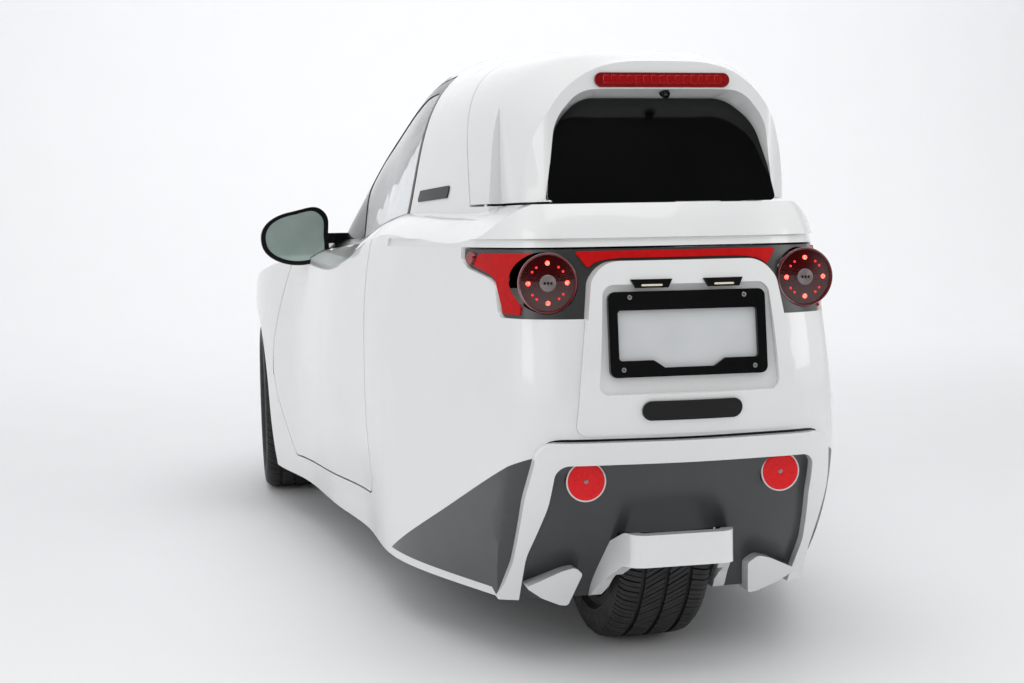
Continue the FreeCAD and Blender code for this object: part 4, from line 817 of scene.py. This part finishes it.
def screwTemplate(radius, height, foot=-0.001):
    # A domed screw head with a round recess
    bm = bmesh.new()
    revolve(bm, origin, upwards, [(foot, radius)] + shaped(screwShape, height, radius), count=20, capStart=True,
            capEnd=True)
    return makeTemplate(bm, smooth=30)


def makeReflectors(spec):
    # Red faces with fine rings; the screw places in their middles are given back
    rims, faces, heads = bmesh.new(), bmesh.new(), []
    count = spec["rings"]
    for side in (1, -1):
        outline, centre, normal = flatPatch("reflectors", backwards, side)
        radius = sum((p - centre).length for p in outline) / len(outline)
        revolve(rims, centre, normal, setIn(spec["rim"], radius), spec["spin"], capStart=True)
        rings = setIn(spec["face"], radius)
        for k in range(1, count):
            rings.append((spec["ringBase"] + (spec["ringRise"] if k % 2 else 0),
                          (radius - spec["ringInset"]) * (1 - k / count) + spec["ringMiddle"] * k / count))
        revolve(faces, centre, normal, rings, spec["spin"], capEnd=True)
        heads.append((centre - normal * spec["headSink"], normal))
    newPiece("reflectorRims", rims, "paleTrim", "chassis")
    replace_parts(newPiece("reflectorFaces", faces, "reflectorRed", "chassis"), "reflectors")
    return heads


reflectorHeads = makeReflectors(reflectorSpec)
makeTailLamps(tailLampSpec)
scatter("reflectorScrews", screwTemplate(*reflectorSpec["head"]), reflectorHeads, "turnedSteel", "chassis")

# Screws of the plate frame and the two lights over the plate
plateSpec = {
    "screws": [(-0.115, 0.072), (0.115, 0.072), (-0.132, -0.066), (0.132, -0.066)],
    "head": (0.0045, 0.002),
    "centreHeight": 0.70,
    "tilt": 6.2,
    "light": (0.082, 0.016, 0.006),
    "lightPlace": (0.072, 0.797),
    "lightSink": 0.001,
    "housing": ((-0.8, -1), (0.8, -1), (1, 1), (-1, 1)),
    "housingBevel": 0.0012,
    "lens": (0.56, 0.24),
    "lensStretch": 0.9,
    "lensPlace": (0.26, 0.0006),
    "lensThick": (0.0012, 0.0004),
}


def makePlateParts(spec):
    tree = treeOf("plate_frame")
    lean = math.cos(math.radians(spec["tilt"]))
    spots = [landFromBehind(tree, x, spec["centreHeight"] + v * lean) for x, v in spec["screws"]]
    scatter("plateScrews", screwTemplate(*spec["head"]), spots, "turnedSteel", "chassis")
    hood = treeOf("plate_hood")
    housings, lenses = bmesh.new(), bmesh.new()
    wide, tall, deep = spec["light"]
    lens = stadium(wide * spec["lens"][0], tall * spec["lens"][1])
    x, z = spec["lightPlace"]
    for side in (1, -1):
        spot, normal = landFromBehind(hood, x * side, z)
        across, up = frameAt(normal)
        base = spot - normal * spec["lightSink"]
        slab(housings, plot(base, across, up, spec["housing"], wide / 2, tall / 2), deep, spec["housingBevel"])
        front = base + normal * (deep - spec["lensPlace"][1]) - up * tall * spec["lensPlace"][0]
        slab(lenses, plot(front, across, up, lens, spec["lensStretch"]), *spec["lensThick"])
    newPiece("plateLightHousings", housings, "glossBlack", "chassis")
    newPiece("plateLightLenses", lenses, "plateGlow", "chassis")


makePlateParts(plateSpec)

mirrorSpec = {"lift": 0.0004, "inset": 0.0012, "thick": 0.0026, "bevel": 0.0009}


def makeMirrorGlass(spec, node, body):
    outline, middle, normal = flatPatch(node, backwards)
    bm = bmesh.new()
    slab(bm, [p + normal * spec["lift"] for p in drawnIn(outline, middle, spec["inset"])], spec["thick"],
         spec["bevel"])
    newPiece(node + "_glass", bm, "mirrorWithPaintedReflection", body, smooth=30)


for side in ("left", "right"):
    makeMirrorGlass(mirrorSpec, "mirror_" + side, "door_" + side)

# Camera over the rear window, its barrel looking down
cameraUnit = {
    "place": (-0.01, 1.174),
    "tilt": 35,
    "radius": 0.0105,
    "lens": 0.0052,
    "length": 0.016,
    "lift": 0.001,
    "collar": [(-0.004, 0.98), (0.0015, 0.98), (0.0025, 0.9), (0.0025, 0.3)],
    "foot": (-0.003, 0.9),
    "barrel": [(0.7, 0.86), (0.85, 0.74)],
    "mouth": [(0.8, 1.2), (0.62, 1)],
    "lensRise": (0.6, 0.14),
    "spin": 32,
}


def makeRearCamera(spec):
    spot = landFromBehind(treeOf("hatch"), *spec["place"])[0]
    tilt = math.radians(spec["tilt"])
    way = Vector((0, math.cos(tilt), -math.sin(tilt)))
    r, long, hole, spin = spec["radius"], spec["length"], spec["lens"], spec["spin"]
    bm, glass = bmesh.new(), bmesh.new()
    revolve(bm, spot, backwards, scaled(spec["collar"], r), spin)
    start = spot + backwards * spec["lift"]
    barrel = scaled([spec["foot"]], r) + shaped(spec["barrel"], long, r) + shaped(spec["mouth"], long, hole)
    revolve(bm, start, way, barrel, spin, capEnd=True)
    newPiece("rearCameraHousing", bm, "glossBlack", "hatch")
    base, rise = spec["lensRise"]
    revolve(glass, start, way, dome(long * base, long * rise, hole, steps=6, tip=0.00005), spin, capEnd=True)
    newPiece("rearCameraLens", glass, "darkGlass", "hatch")


makeRearCamera(cameraUnit)

# Gloss-dark strip laid on the body just above its white bumper frame: painted shadow of the gap between body and
# frame
gapShadeSpec = {
    "reach": 0.46,
    "steps": 92,
    "top": 0.62,
    "foot": 0.36,
    "step": 0.0008,
    "low": 0.0045,
    "high": 0.0105,
    "stand": 0.0016,
    "section": ((-0.25, 0.2), (0.05, 1.0), (0.55, 1.15), (0.9, 0.8), (1.0, -0.4)),
}


def makeBumperGapShade(spec):
    framed, carried = treeOf("bumper_frame"), treeOf("lower_body", "bumper_panel")
    bm = bmesh.new()
    rows = []
    for k in range(spec["steps"] + 1):
        x = spec["reach"] * (1 - 2 * k / spec["steps"])
        z = spec["top"]
        while z > spec["foot"] and not framed.ray_cast(Vector((x, 2, z)), forwards)[0]:
            z -= spec["step"]
        if z <= spec["foot"]:
            continue
        wide = spec["low"] + (spec["high"] - spec["low"]) * (abs(x) / spec["reach"]) ** 3
        row = []
        for share, stand in spec["section"]:
            spot, normal = landFromBehind(carried, x, z + wide * share)
            row.append(spot + normal * spec["stand"] * stand)
        rows.append(row)
    smooth = []
    for k, row in enumerate(rows):
        near = rows[max(0, k - 2):k + 3]
        smooth.append([bm.verts.new(sum((other[i] for other in near), Vector()) / len(near))
                       for i in range(len(row))])
    joinRows(bm, smooth, closeAround=False)
    newPiece("bumperLip", bm, "glossBlack", "chassis", smooth=60)


makeBumperGapShade(gapShadeSpec)

# Cells of the high brake lamp, with cut corners; their faint glow is a painted glint
brakeCellSpec = {
    "cells": 15,
    "pitch": 0.0165,
    "cell": (0.0152, 0.0165),
    "height": 1.197,
    "outline": ((-0.5, -0.38), (-0.38, -0.5), (0.38, -0.5), (0.5, -0.38), (0.5, 0.38), (0.38, 0.5), (-0.38, 0.5),
                (-0.5, 0.38)),
    "thick": 0.0009,
    "bevel": 0.0006,
}


def makeBrakeCells(spec):
    tree = treeOf("high_brake_lamp")
    bm = bmesh.new()
    wide, tall = spec["cell"]
    slab(bm, [(u * wide, v * tall, 0) for u, v in spec["outline"]], spec["thick"], spec["bevel"])
    middle = (spec["cells"] - 1) / 2
    spots = [landFromBehind(tree, (k - middle) * spec["pitch"], spec["height"]) for k in range(spec["cells"])]
    scatter("brakeLampCells", makeTemplate(bm), spots, "brakeCellPaintedGlint", "hatch")


makeBrakeCells(brakeCellSpec)
print("tail details made")

# Wheel nuts and hub caps
wheelSpec = {
    "nuts": 5,
    "nutCircle": 0.049,
    "nut": 0.0095,
    "nutHeight": 0.011,
    "nutFoot": -0.004,
    "nutShape": [(0.75, 1), (0.9, 0.86), (1, 0.55)],
    "washer": [(-0.002, 1.25), (0.0012, 1.25), (0.002, 1.1), (0.002, 0.8)],
    "cap": 0.027,
    "capHeight": 0.008,
    "capEdge": 0.35,
    "capFoot": (-0.003, 0.98),
    "capDome": 0.97,
    "capSeat": 0.95,
}


def nutTemplate(spec):
    bm = bmesh.new()
    r, tall = spec["nut"], spec["nutHeight"]
    profile = [(spec["nutFoot"], r)] + shaped(spec["nutShape"], tall, r)
    revolve(bm, origin, upwards, profile, count=6, capStart=True, capEnd=True)
    revolve(bm, origin, upwards, scaled(spec["washer"], r), count=24, capStart=True)
    return makeTemplate(bm, smooth=25)


def makeWheelParts(spec, rim, body, way):
    centre = nodeWheel(rim)[0]
    tree = treeOf(rim)
    outward = Vector((way, 0, 0))
    spots = []
    for k in range(spec["nuts"]):
        turn = 2 * math.pi * (k + 0.5) / spec["nuts"]
        offset = Vector((0, math.cos(turn), math.sin(turn))) * spec["nutCircle"]
        spots.append((landing(tree, centre + offset + outward, -outward)[0], outward))
    scatter(rim + "_nuts", nutTemplate(spec), spots, "turnedSteel", body)
    r, tall, edge = spec["cap"], spec["capHeight"], spec["capEdge"]
    spot = landing(tree, centre + Vector((way, 0, r * spec["capSeat"])), -outward)[0]
    bm = bmesh.new()
    profile = scaled([spec["capFoot"], (tall * edge, 1)], r)
    profile += dome(tall * edge, tall * (1 - edge), r * spec["capDome"], steps=6)
    revolve(bm, (spot.x, centre.y, centre.z), outward, profile, count=40, capEnd=True)
    newPiece(rim + "_cap", bm, "glossBlack", body, smooth=30)


for rim, body, way in (("front_rim_left", "front_wheel_left", 1), ("front_rim_right", "front_wheel_right", -1),
                       ("rear_rim", "rear_wheel", 1)):
    makeWheelParts(wheelSpec, rim, body, way)
print("wheel details made")

# Seat pads, puffed up by a short cloth run
padSpec = {
    "voxel": 0.006,
    "inset": 0.009,
    "cap": 0.014,
    "pressure": 4.0,
    "quality": 5,
    "frames": 20,
    "channelDepth": 0.007,
    "channelWidth": 0.006,
    "middleHalf": 0.135,
    "pads": {
        "seat_base": {"face": (0, 0, 1), "channels": [("x", -0.135), ("x", 0.135), ("y", 0.33), ("y", 0.66)]},
        "seat_back": {"face": (0, -1, 0), "channels": [("x", -0.135), ("x", 0.135), ("z", 0.25), ("z", 0.5)]},
    },
}


def puffed(pad, spec, mesh):
    # Cloth under pressure, its step held to a cap
    rest = [v.co.copy() for v in mesh.vertices]
    cloth = pad.modifiers.new("cloth", "CLOTH")
    cloth.settings.use_pressure = True
    cloth.settings.uniform_pressure_force = spec["pressure"]
    cloth.settings.effector_weights.gravity = 0
    cloth.settings.quality = spec["quality"]
    cloth.point_cache.frame_start = 1
    cloth.point_cache.frame_end = spec["frames"]
    for frameNumber in range(1, spec["frames"] + 1):
        scene.frame_set(frameNumber)
    moved = [v.co.copy() for v in settled(pad).data.vertices]
    pad.modifiers.clear()
    scene.frame_set(1)
    for vert, old, new in zip(mesh.vertices, rest, moved):
        step = new - old
        vert.co = old + step * min(1.0, spec["cap"] / max(step.length, 1e-9))


def pressChannels(mesh, spec, pad, low, size):
    # Stitched channels: long ones over the whole face, cross ones between them
    face = Vector(pad["face"])
    for vert, normal in zip(mesh.vertices, [v.normal.copy() for v in mesh.vertices]):
        dent = 0.0
        for axis, place in pad["channels"]:
            i = "xyz".index(axis)
            line = place if axis == "x" else low[i] + size[i] * place
            if axis == "x" or abs(vert.co.x) <= spec["middleHalf"]:
                dent = max(dent, spec["channelDepth"] * math.exp(-((vert.co[i] - line) / spec["channelWidth"]) ** 2))
        vert.co -= face * dent * max(0.0, normal.dot(face))


def makePad(node, spec):
    low, high = nodeBox(node)
    middle, size = (low + high) / 2, high - low
    bm = weldedNode(node)
    for vert in bm.verts:
        for i in range(3):
            vert.co[i] = middle[i] + (vert.co[i] - middle[i]) * (1 - 2 * spec["inset"] / size[i])
    pad = addObject(node + "_pad", meshOf(node + "_pad", bm))
    remesh = pad.modifiers.new("remesh", "REMESH")
    remesh.mode = "VOXEL"
    remesh.voxel_size = spec["voxel"]
    start = bpy.data.meshes.new_from_object(settled(pad))
    pad.modifiers.clear()
    pad.data = start
    puffed(pad, spec, start)
    pressChannels(start, spec, spec["pads"][node], low, size)
    smooth = pad.modifiers.new("smooth", "SUBSURF")
    smooth.levels = smooth.render_levels = 1
    final = bpy.data.meshes.new_from_object(settled(pad))
    bpy.data.objects.remove(pad)
    for polygon in final.polygons:
        polygon.use_smooth = True
    for vert in final.vertices:
        for i in range(3):
            vert.co[i] = min(high[i], max(low[i], vert.co[i]))
    piece = addPiece(node + "_pad", final, "seatCloth", "chassis")
    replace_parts(piece, node)


for node in padSpec["pads"]:
    makePad(node, padSpec)
print("seat pads made")

# Bowls, rings and eyes inside the headlamps
headlampSpec = {
    "bowls": [(-0.24, 0.1, 0.026), (0.2, -0.02, 0.021)],
    "sink": 0.016,
    "bowlFoot": (-0.003, 0.3),
    "bowlDepth": 0.012,
    "bowlSteps": 8,
    "bowlLip": [(0.009, 1.06), (0.006, 1.08)],
    "ring": [(0.0085, 0.96), (0.0105, 0.93), (0.0105, 0.86), (0.0085, 0.83)],
    "eye": (0.011, 0.52),
}


def makeHeadlampParts(spec):
    tree = treeOf("headlamps")
    bowls, rings, eyes = bmesh.new(), bmesh.new(), bmesh.new()
    foot, narrow = spec["bowlFoot"]
    tall, small = spec["eye"]
    for side in (1, -1):
        low, high = boxOf([v.co for v in nodes["headlamps"].data.vertices if v.co.x * side > 0])
        middle, size = (low + high) / 2, high - low
        for across, up, radius in spec["bowls"]:
            start = (middle.x + side * across * size.x, low.y - 1, middle.z + up * size.z)
            centre = landing(tree, start, backwards)[0] + backwards * spec["sink"]
            shares = [k / spec["bowlSteps"] for k in range(spec["bowlSteps"] + 1)]
            bowl = [(foot + spec["bowlDepth"] * share ** 2, narrow + (1 - narrow) * share) for share in shares]
            revolve(bowls, centre, forwards, scaled(bowl + spec["bowlLip"], radius), count=40, capStart=True)
            revolve(rings, centre, forwards, scaled(spec["ring"], radius), count=40, closed=True)
            eye = [(foot, radius * small)] + dome(0, tall, radius * small, steps=6)
            revolve(eyes, centre, forwards, eye, count=32, capEnd=True)
    newPiece("headlampBowls", bowls, "castAlloy", "chassis")
    newPiece("headlampRings", rings, "plateGlow", "chassis")
    newPiece("headlampEyes", eyes, "darkGlass", "chassis")


makeHeadlampParts(headlampSpec)

# Wiper, parked low across the windscreen, its blade following the glass
wiperSpec = {
    "above": 2.5,
    "points": 15,
    "startX": 0.17,
    "span": 0.4,
    "rise": 0.055,
    "bow": 0.03,
    "bladeShift": (0, -0.004, 0.0085),
    "blade": 0.0045,
    "spineShift": (0, -0.003, 0.008),
    "spine": 0.003,
    "pivotX": 0.22,
    "pivotRise": 0.012,
    "pivot": [(-0.004, 0.014), (0.008, 0.013), (0.015, 0.011), (0.018, 0.006)],
    "armSteps": 8,
    "arm": (0.009, 0.004),
    "armLift": (0.008, 0.016),
    "armBow": (1.1, 0.9),
}


def tube(bm, path, radii, count, flat=1.0):
    # A round or flattened tube along a path of points
    rows = []
    for index, spot in enumerate(path):
        before, after = path[max(index - 1, 0)], path[min(index + 1, len(path) - 1)]
        ahead = (after - before).normalized()
        side = ahead.cross(upwards).normalized()
        over = side.cross(ahead)
        turns = [2 * math.pi * k / count for k in range(count)]
        rows.append([bm.verts.new(spot + side * math.cos(turn) * radii[index]
                                  + over * math.sin(turn) * radii[index] * flat) for turn in turns])
    joinRows(bm, rows)
    capEnds(bm, rows)


def makeWiper(spec):
    glass = treeOf("windscreen", "windscreen_frame", "front_body", "upper_body")
    foot = nodeBox("windscreen")[0].y
    blade, arm = bmesh.new(), bmesh.new()
    path = []
    for k in range(spec["points"]):
        share = k / (spec["points"] - 1)
        x = spec["startX"] - spec["span"] * share
        y = foot + spec["rise"] + spec["bow"] * math.sin(math.pi * share)
        path.append(landing(glass, (x, y, spec["above"]), -upwards)[0] + Vector(spec["bladeShift"]))
    tube(blade, path, [spec["blade"]] * len(path), count=8, flat=1.2)
    spine = [p + Vector(spec["spineShift"]) for p in path[1:-1]]
    tube(blade, spine, [spec["spine"]] * len(spine), count=8)
    newPiece("wiperBlade", blade, "frameBlack", "chassis")
    start = landing(glass, (spec["pivotX"], foot + spec["pivotRise"], spec["above"]), -upwards)[0]
    middle = path[len(path) // 2]
    route, radii = [], []
    for k in range(spec["armSteps"] + 1):
        share = k / spec["armSteps"]
        early, part = spec["armBow"]
        lift = spec["armLift"][0] + spec["armLift"][1] * math.sin(math.pi * min(1, share * early) * part)
        route.append(start.lerp(middle, share) + upwards * lift)
        radii.append(spec["arm"][0] - spec["arm"][1] * share)
    tube(arm, route, radii, count=10, flat=0.6)
    revolve(arm, start, upwards, spec["pivot"], count=20, capEnd=True)
    newPiece("wiperArm", arm, "frameBlack", "chassis")


makeWiper(wiperSpec)

# Screen and vents on the dashboard, each as (place across, width, height)
cabinSpec = {
    "level": 0.72,
    "screen": (0.0, 0.16, 0.075),
    "vents": [(-0.24, 0.11, 0.042), (0.24, 0.11, 0.042)],
    "outline": ((-0.94, -1), (0.94, -1), (1, -0.88), (1, 0.88), (0.94, 1), (-0.94, 1), (-1, 0.88), (-1, -0.88)),
    "frameSink": 0.001,
    "frame": (0.007, 0.002),
    "faceLift": 0.0058,
    "faceShare": (0.92, 0.88),
    "face": (0.0012, 0.0004),
    "slats": 5,
    "slatSpread": 0.8,
    "slatShare": (0.86, 0.09),
    "slatLift": 0.0055,
    "slat": (0.004, 0.001),
}


def makeCabinParts(spec):
    tree = treeOf("dashboard")
    low, high = nodeBox("dashboard")
    frames, faces, slats = bmesh.new(), bmesh.new(), bmesh.new()
    z = low.z + (high.z - low.z) * spec["level"]
    for x, width, height in [spec["screen"]] + spec["vents"]:
        spot, normal = landFromBehind(tree, x, z, high.y + 0.5)
        across, up = frameAt(normal)
        wide, tall = width / 2, height / 2
        slab(frames, plot(spot - normal * spec["frameSink"], across, up, spec["outline"], wide, tall), *spec["frame"])
        if x == spec["screen"][0]:
            shareWide, shareTall = spec["faceShare"]
            slab(faces, plot(spot + normal * spec["faceLift"], across, up, spec["outline"], wide * shareWide,
                             tall * shareTall), *spec["face"])
            continue
        shareWide, shareTall = spec["slatShare"]
        for k in range(spec["slats"]):
            level = (k + 0.5) / spec["slats"] * 2 - 1
            base = spot + normal * spec["slatLift"] + up * level * tall * spec["slatSpread"]
            slab(slats, plot(base, across, up, fourCorners, wide * shareWide, tall * shareTall), *spec["slat"])
    newPiece("dashFrames", frames, "frameBlack", "chassis")
    newPiece("dashScreen", faces, "darkGlass", "chassis")
    newPiece("ventSlats", slats, "satinGrey", "chassis")


makeCabinParts(cabinSpec)
print("front and cabin details made")

# Floor that sweeps up into a backdrop, and lights
stageSpec = {
    "floorColour": (0.86, 0.865, 0.88),
    "floorPale": 1.01,
    "floorRough": (0.55, 0.6),
    "halfWidth": 24.0,
    "near": 40.0,
    "far": -6.0,
    "bend": 3.0,
    "bendSteps": 24,
    "top": 18.0,
    "worldStrength": 0.68,
    "cameraTint": (0.985, 0.985, 1.0),
    "cameraWhite": 0.93,
    "sideShade": (0.42, 0.72, 0.03, 0.9),
    "topShade": (0.6, 1.0, 0.0, 0.75),
}


def makeFloor(spec):
    bm = bmesh.new()
    profile = [(spec["near"], 0.0), (spec["far"], 0.0)]
    for k in range(1, spec["bendSteps"] + 1):
        turn = math.pi / 2 * k / spec["bendSteps"]
        profile.append((spec["far"] - spec["bend"] * math.sin(turn), spec["bend"] * (1 - math.cos(turn))))
    profile.append((profile[-1][0], spec["top"]))
    rows = [[bm.verts.new((side * spec["halfWidth"], y, z)) for side in (1, -1)] for y, z in profile]
    joinRows(bm, rows, closeAround=False)
    mesh = meshOf("studioSweep", bm)
    for face in mesh.polygons:
        face.use_smooth = True
    floor = addObject("studioSweep", mesh)
    colour = spec["floorColour"]
    finish("floorPaint", colour, tuple(c * spec["floorPale"] for c in colour), spec["floorRough"])
    floor.data.materials.append(finishes["floorPaint"])


def makeWorld(spec):
    # White all round for diffuse light; mirrored rays see a dark end behind the camera with bright sides and top
    world = bpy.data.worlds.new("studio")
    world.use_nodes = True
    scene.world = world
    tree = world.node_tree
    light = tree.nodes["Background"]
    coords, axes, path, choose, seen, mix = addNodes(
        tree, "ShaderNodeTexCoord", "ShaderNodeSeparateXYZ", "ShaderNodeLightPath", "ShaderNodeMix",
        "ShaderNodeBackground", "ShaderNodeMixShader")
    sideways, brighter = addNodes(tree, *["ShaderNodeMath"] * 2)
    sideways.operation = "ABSOLUTE"
    brighter.operation = "MAXIMUM"
    sideShade, topShade = addNodes(tree, *["ShaderNodeMapRange"] * 2)
    for node, (fromMin, fromMax, toMin, toMax) in ((sideShade, spec["sideShade"]), (topShade, spec["topShade"])):
        node.interpolation_type = "SMOOTHSTEP"
        setInputs(node, From_Min=fromMin, From_Max=fromMax, To_Min=toMin, To_Max=toMax)
    setInputs(light, Color=(1, 1, 1, 1))
    setInputs(choose, A=spec["worldStrength"])
    setInputs(seen, Color=(*spec["cameraTint"], 1), Strength=spec["cameraWhite"])
    wire(tree, (coords, "Generated", axes, "Vector"), (axes, "X", sideways, 0),
         (sideways, "Value", sideShade, "Value"), (axes, "Z", topShade, "Value"),
         (sideShade, "Result", brighter, 0), (topShade, "Result", brighter, 1),
         (path, "Is Glossy Ray", choose, "Factor"), (brighter, "Value", choose, "B"),
         (choose, "Result", light, "Strength"), (path, "Is Camera Ray", mix, "Fac"), (light, "Background", mix, 1),
         (seen, "Background", mix, 2), (mix, "Shader", tree.nodes["World Output"], "Surface"))


lampSpecs = [
    {"name": "wallWash", "at": (-1.8, -4.5, 6.2), "to": (-1.8, -9, 2.7), "size": (12, 1.2), "power": 235},
    {"name": "topBox", "at": (0.2, 1.2, 4.2), "to": (0, 0.2, 0.6), "size": (3.4, 4.6), "power": 62},
    {"name": "leftBox", "at": (4.2, 2.0, 2.2), "to": (0.3, 0.4, 0.7), "size": (1.8, 2.6), "power": 20},
    {"name": "rightBox", "at": (-4.0, 3.4, 2.2), "to": (0, 0.8, 0.7), "size": (1.8, 2.2), "power": 24},
]


def makeLamp(spec):
    data = bpy.data.lights.new(spec["name"], "AREA")
    data.shape = "RECTANGLE"
    data.size, data.size_y = spec["size"]
    data.energy = spec["power"]
    lamp = addObject(spec["name"], data)
    lamp.location = spec["at"]
    lamp.rotation_mode = "QUATERNION"
    lamp.rotation_quaternion = (Vector(spec["to"]) - Vector(spec["at"])).to_track_quat("-Z", "Y")


makeFloor(stageSpec)
makeWorld(stageSpec)
for spec in lampSpecs:
    makeLamp(spec)
scene.view_settings.view_transform = "Standard"
print("studio made")
